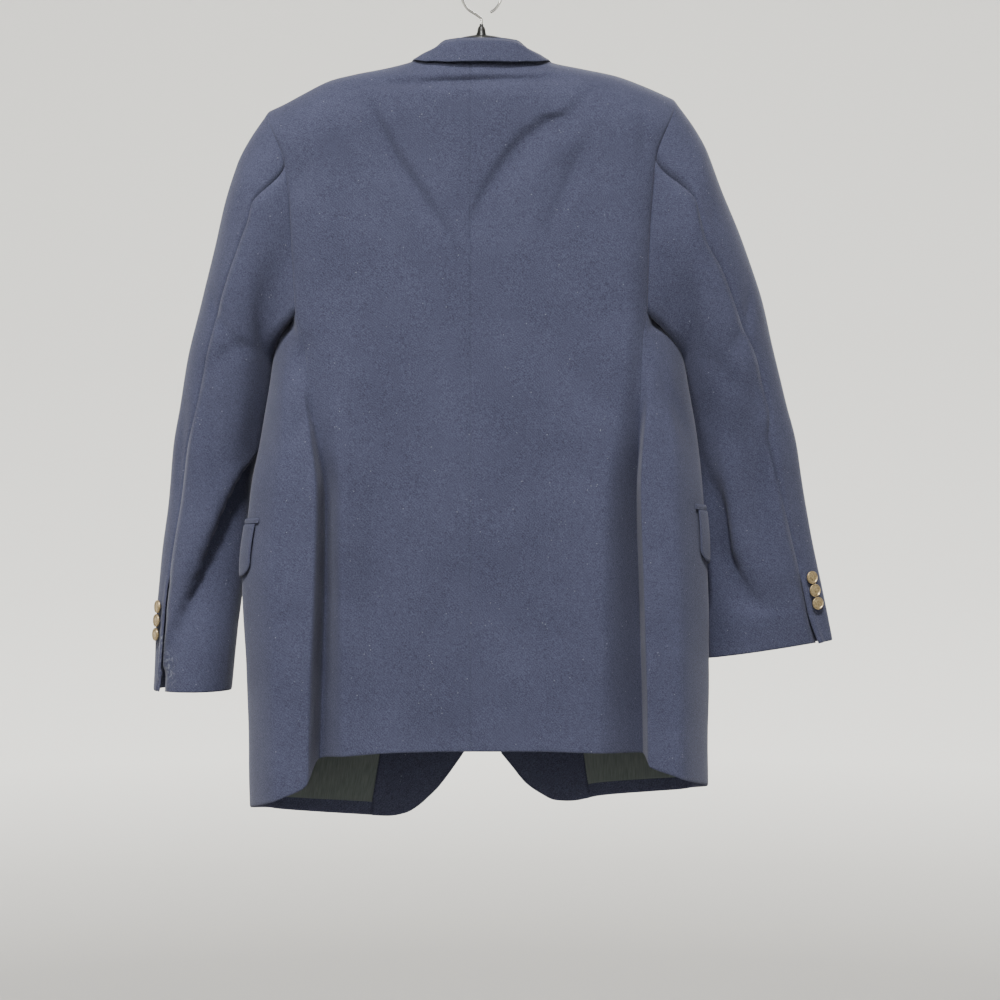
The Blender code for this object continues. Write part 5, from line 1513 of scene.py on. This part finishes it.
hole_lines = []
for name in ("top", "low"):
    middle = middle_of("front_button_" + name) + np.array([HOLE_SHIFT, 0, 0])
    hole_lines.append(hole_line("cloth_front_left", middle, np.array([1.0, 0, 0])))
lapel_row = made["cloth_lapel_left"]["outer"][LAPEL_HOLE_ROW]
hole_lines.append(hole_line("cloth_lapel_left", lapel_row[len(lapel_row) // 4], np.array([1.0, 0, 0.25])))
grown("buttonhole_stitches", lines_mesh("hole lines", hole_lines), stitches,
      {"Pitch": 0.00045, "Length": 0.0016, "Thickness": 0.00042, "Turn": math.pi / 2})

# %% [markdown]
# ## Lint
# A worn dark blazer gathers pale specks.  Dots in the colour would lie flat, so they are real little fibres
# here, strewn over the panels by a second tree with a fixed seed, few and far between.

# %% Lint strewn over the cloth
LINT_INPUTS = {"Density": "NodeSocketFloat", "Size": "NodeSocketFloat", "Seed": "NodeSocketInt"}
LINT_LEAST = (0.3, 0.3, 0.15)    # length, width and height of a speck, as shares of its size
LINT_MOST = (1.6, 0.5, 0.3)
LINT_LIFT = 0.0001


def lint_tree():
    """Named inputs: Density for each square metre, Size of a speck and the Seed."""
    tree, given = open_tree("strewn lint", LINT_INPUTS)
    inputs = {"Mesh": given["Geometry"], "Seed": given["Seed"], "Density": given["Density"]}
    strewn = node(tree, "GeometryNodeDistributePointsOnFaces", inputs)
    speck = node(tree, "GeometryNodeMeshIcoSphere", {"Radius": 0.5})
    inputs = {"Min": LINT_LEAST, "Max": LINT_MOST, "Seed": given["Seed"]}
    stretch = node(tree, "FunctionNodeRandomValue", inputs, data_type="FLOAT_VECTOR")
    scaled = node(tree, "ShaderNodeVectorMath", {0: stretch.outputs["Value"], "Scale": given["Size"]},
                  operation="SCALE")
    spin = node(tree, "FunctionNodeRandomValue", {"Max": (0.0, 0.0, 6.28), "Seed": given["Seed"]},
                data_type="FLOAT_VECTOR")
    inputs = {"Rotation": strewn.outputs["Rotation"], "Rotate By": spin.outputs["Value"]}
    turn = node(tree, "FunctionNodeRotateRotation", inputs, rotation_space="LOCAL")
    close_tree(tree, strewn.outputs["Points"], speck.outputs["Mesh"], turn.outputs["Rotation"],
               scaled.outputs["Vector"], lint)
    return tree


points, faces = [], []
cloths = [name for name in made if name.startswith("cloth_") and "facing" not in name]
for name in cloths:
    grid = made[name]["outer"] + made[name]["normal"] * LINT_LIFT
    points.append(grid.reshape(-1, 3))
    faces.append(grid_faces(*grid.shape[:2]) + sum(len(done) for done in points[:-1]))
ground = bpy.data.meshes.new("lint ground")
ground.from_pydata(np.concatenate(points).tolist(), [], np.concatenate(faces).tolist())
grown("lint_specks", ground, lint_tree(), {"Density": 14.0, "Size": 0.0006, "Seed": 7})

# %% [markdown]
# ## Floor, light and camera
# The floor is a wide pale disc that curves up into a wall far behind every view, so that no corner or
# horizon shows.  Its ground is darker than its wall, so that it throws less light up into the folds.  A
# window high behind the camera lights garment and wall, and a lamp at the left lifts the left side.  A lamp
# and a weak window on the far side light the front, for views from there.

# %% Floor and wall in one turned surface
FLOOR_Z = -1.9
BOWL = [(2.6, 0.0), (3.3, 0.03), (3.9, 0.18), (4.4, 0.5), (4.7, 1.0), (4.85, 1.8), (4.9, 4.2)]
BOWL_SIDES = 96
GROUND_COLOUR = (0.42, 0.41, 0.39)
WALL_COLOUR = (0.95, 0.94, 0.89)
SHADE_FROM, SHADE_TO = 0.02, 0.45    # heights over the ground between which it grows pale
stage_mesh = bmesh.new()
rings = []
for radius, height in BOWL:
    rings.append([stage_mesh.verts.new((radius * math.cos(2 * math.pi * k / BOWL_SIDES),
                                        radius * math.sin(2 * math.pi * k / BOWL_SIDES), FLOOR_Z + height))
                  for k in range(BOWL_SIDES)])
stage_mesh.faces.new(rings[0])
for low, high in zip(rings, rings[1:]):
    for k in range(BOWL_SIDES):
        ahead = (k + 1) % BOWL_SIDES
        stage_mesh.faces.new((low[ahead], low[k], high[k], high[ahead]))
floor_data = bpy.data.meshes.new("floor")
stage_mesh.to_mesh(floor_data)
stage_mesh.free()
floor_data.shade_smooth()
floor = bpy.data.objects.new("floor", floor_data)
bpy.context.scene.collection.objects.link(floor)
pale, pale_tree, pale_shader, place = new_material("pale floor", WALL_COLOUR, 0.9)
height = node(pale_tree, "ShaderNodeSeparateXYZ")
pale_tree.links.new(place["Object"], height.inputs[0])
climb = stretched(pale_tree, height.outputs["Z"], FLOOR_Z + SHADE_FROM, FLOOR_Z + SHADE_TO)
shade = mixed(pale_tree, climb, GROUND_COLOUR, WALL_COLOUR)
pale_tree.links.new(shade, pale_shader.inputs["Base Color"])
floor_data.materials.append(pale)
print("floor at", FLOOR_Z)


# %% Lights
WARM_WHITE = (1.0, 0.99, 0.97)
ROOM_COLOUR = (0.95, 0.97, 1.0, 1)
ROOM_STRENGTH = 0.11


def aim(lamp, direction):
    """Turn a lamp along a direction and put it in the scene."""
    lamp.rotation_euler = Vector(direction).to_track_quat("-Z", "Y").to_euler()
    bpy.context.scene.collection.objects.link(lamp)


def area_light(name, place, target, size, power):
    data = bpy.data.lights.new(name, "AREA")
    data.size = size
    data.energy = power
    data.color = WARM_WHITE
    lamp = bpy.data.objects.new(name, data)
    lamp.location = place
    aim(lamp, Vector(target) - Vector(place))


def window(name, direction, strength, softness):
    """A very large, far light: it falls on the garment and the wall alike."""
    data = bpy.data.lights.new(name, "SUN")
    data.energy = strength
    data.angle = math.radians(softness)
    aim(bpy.data.objects.new(name, data), direction)


area_light("key", (-0.8, -1.3, 0.5), (-0.1, 0.0, -0.30), 0.4, 15)
area_light("front", (0.8, 2.0, 1.3), (0.0, 0.0, -0.5), 1.2, 34)
window("room window", (0.05, 0.62, -0.78), 4.3, 9)
window("far window", (-0.20, -0.80, -0.55), 1.1, 50)
world = bpy.data.worlds.new("soft room")
world.use_nodes = True
fill(world.node_tree, world.node_tree.nodes["Background"], {"Color": ROOM_COLOUR, "Strength": ROOM_STRENGTH})
bpy.context.scene.world = world
print("lamps:", [lamp.name for lamp in bpy.data.lights])

# %% Camera
CAMERA_PLACE = (0.0215, -2.35, -0.607)
LENS = 73.0
SENSOR_WIDTH = 36.0
camera_data = bpy.data.cameras.new("camera")
camera_data.lens = LENS
camera_data.sensor_width = SENSOR_WIDTH
camera = bpy.data.objects.new("camera", camera_data)
camera.location = CAMERA_PLACE
camera.rotation_euler = (math.pi / 2, 0, 0)
bpy.context.scene.collection.objects.link(camera)
bpy.context.scene.camera = camera
print("camera at", CAMERA_PLACE)
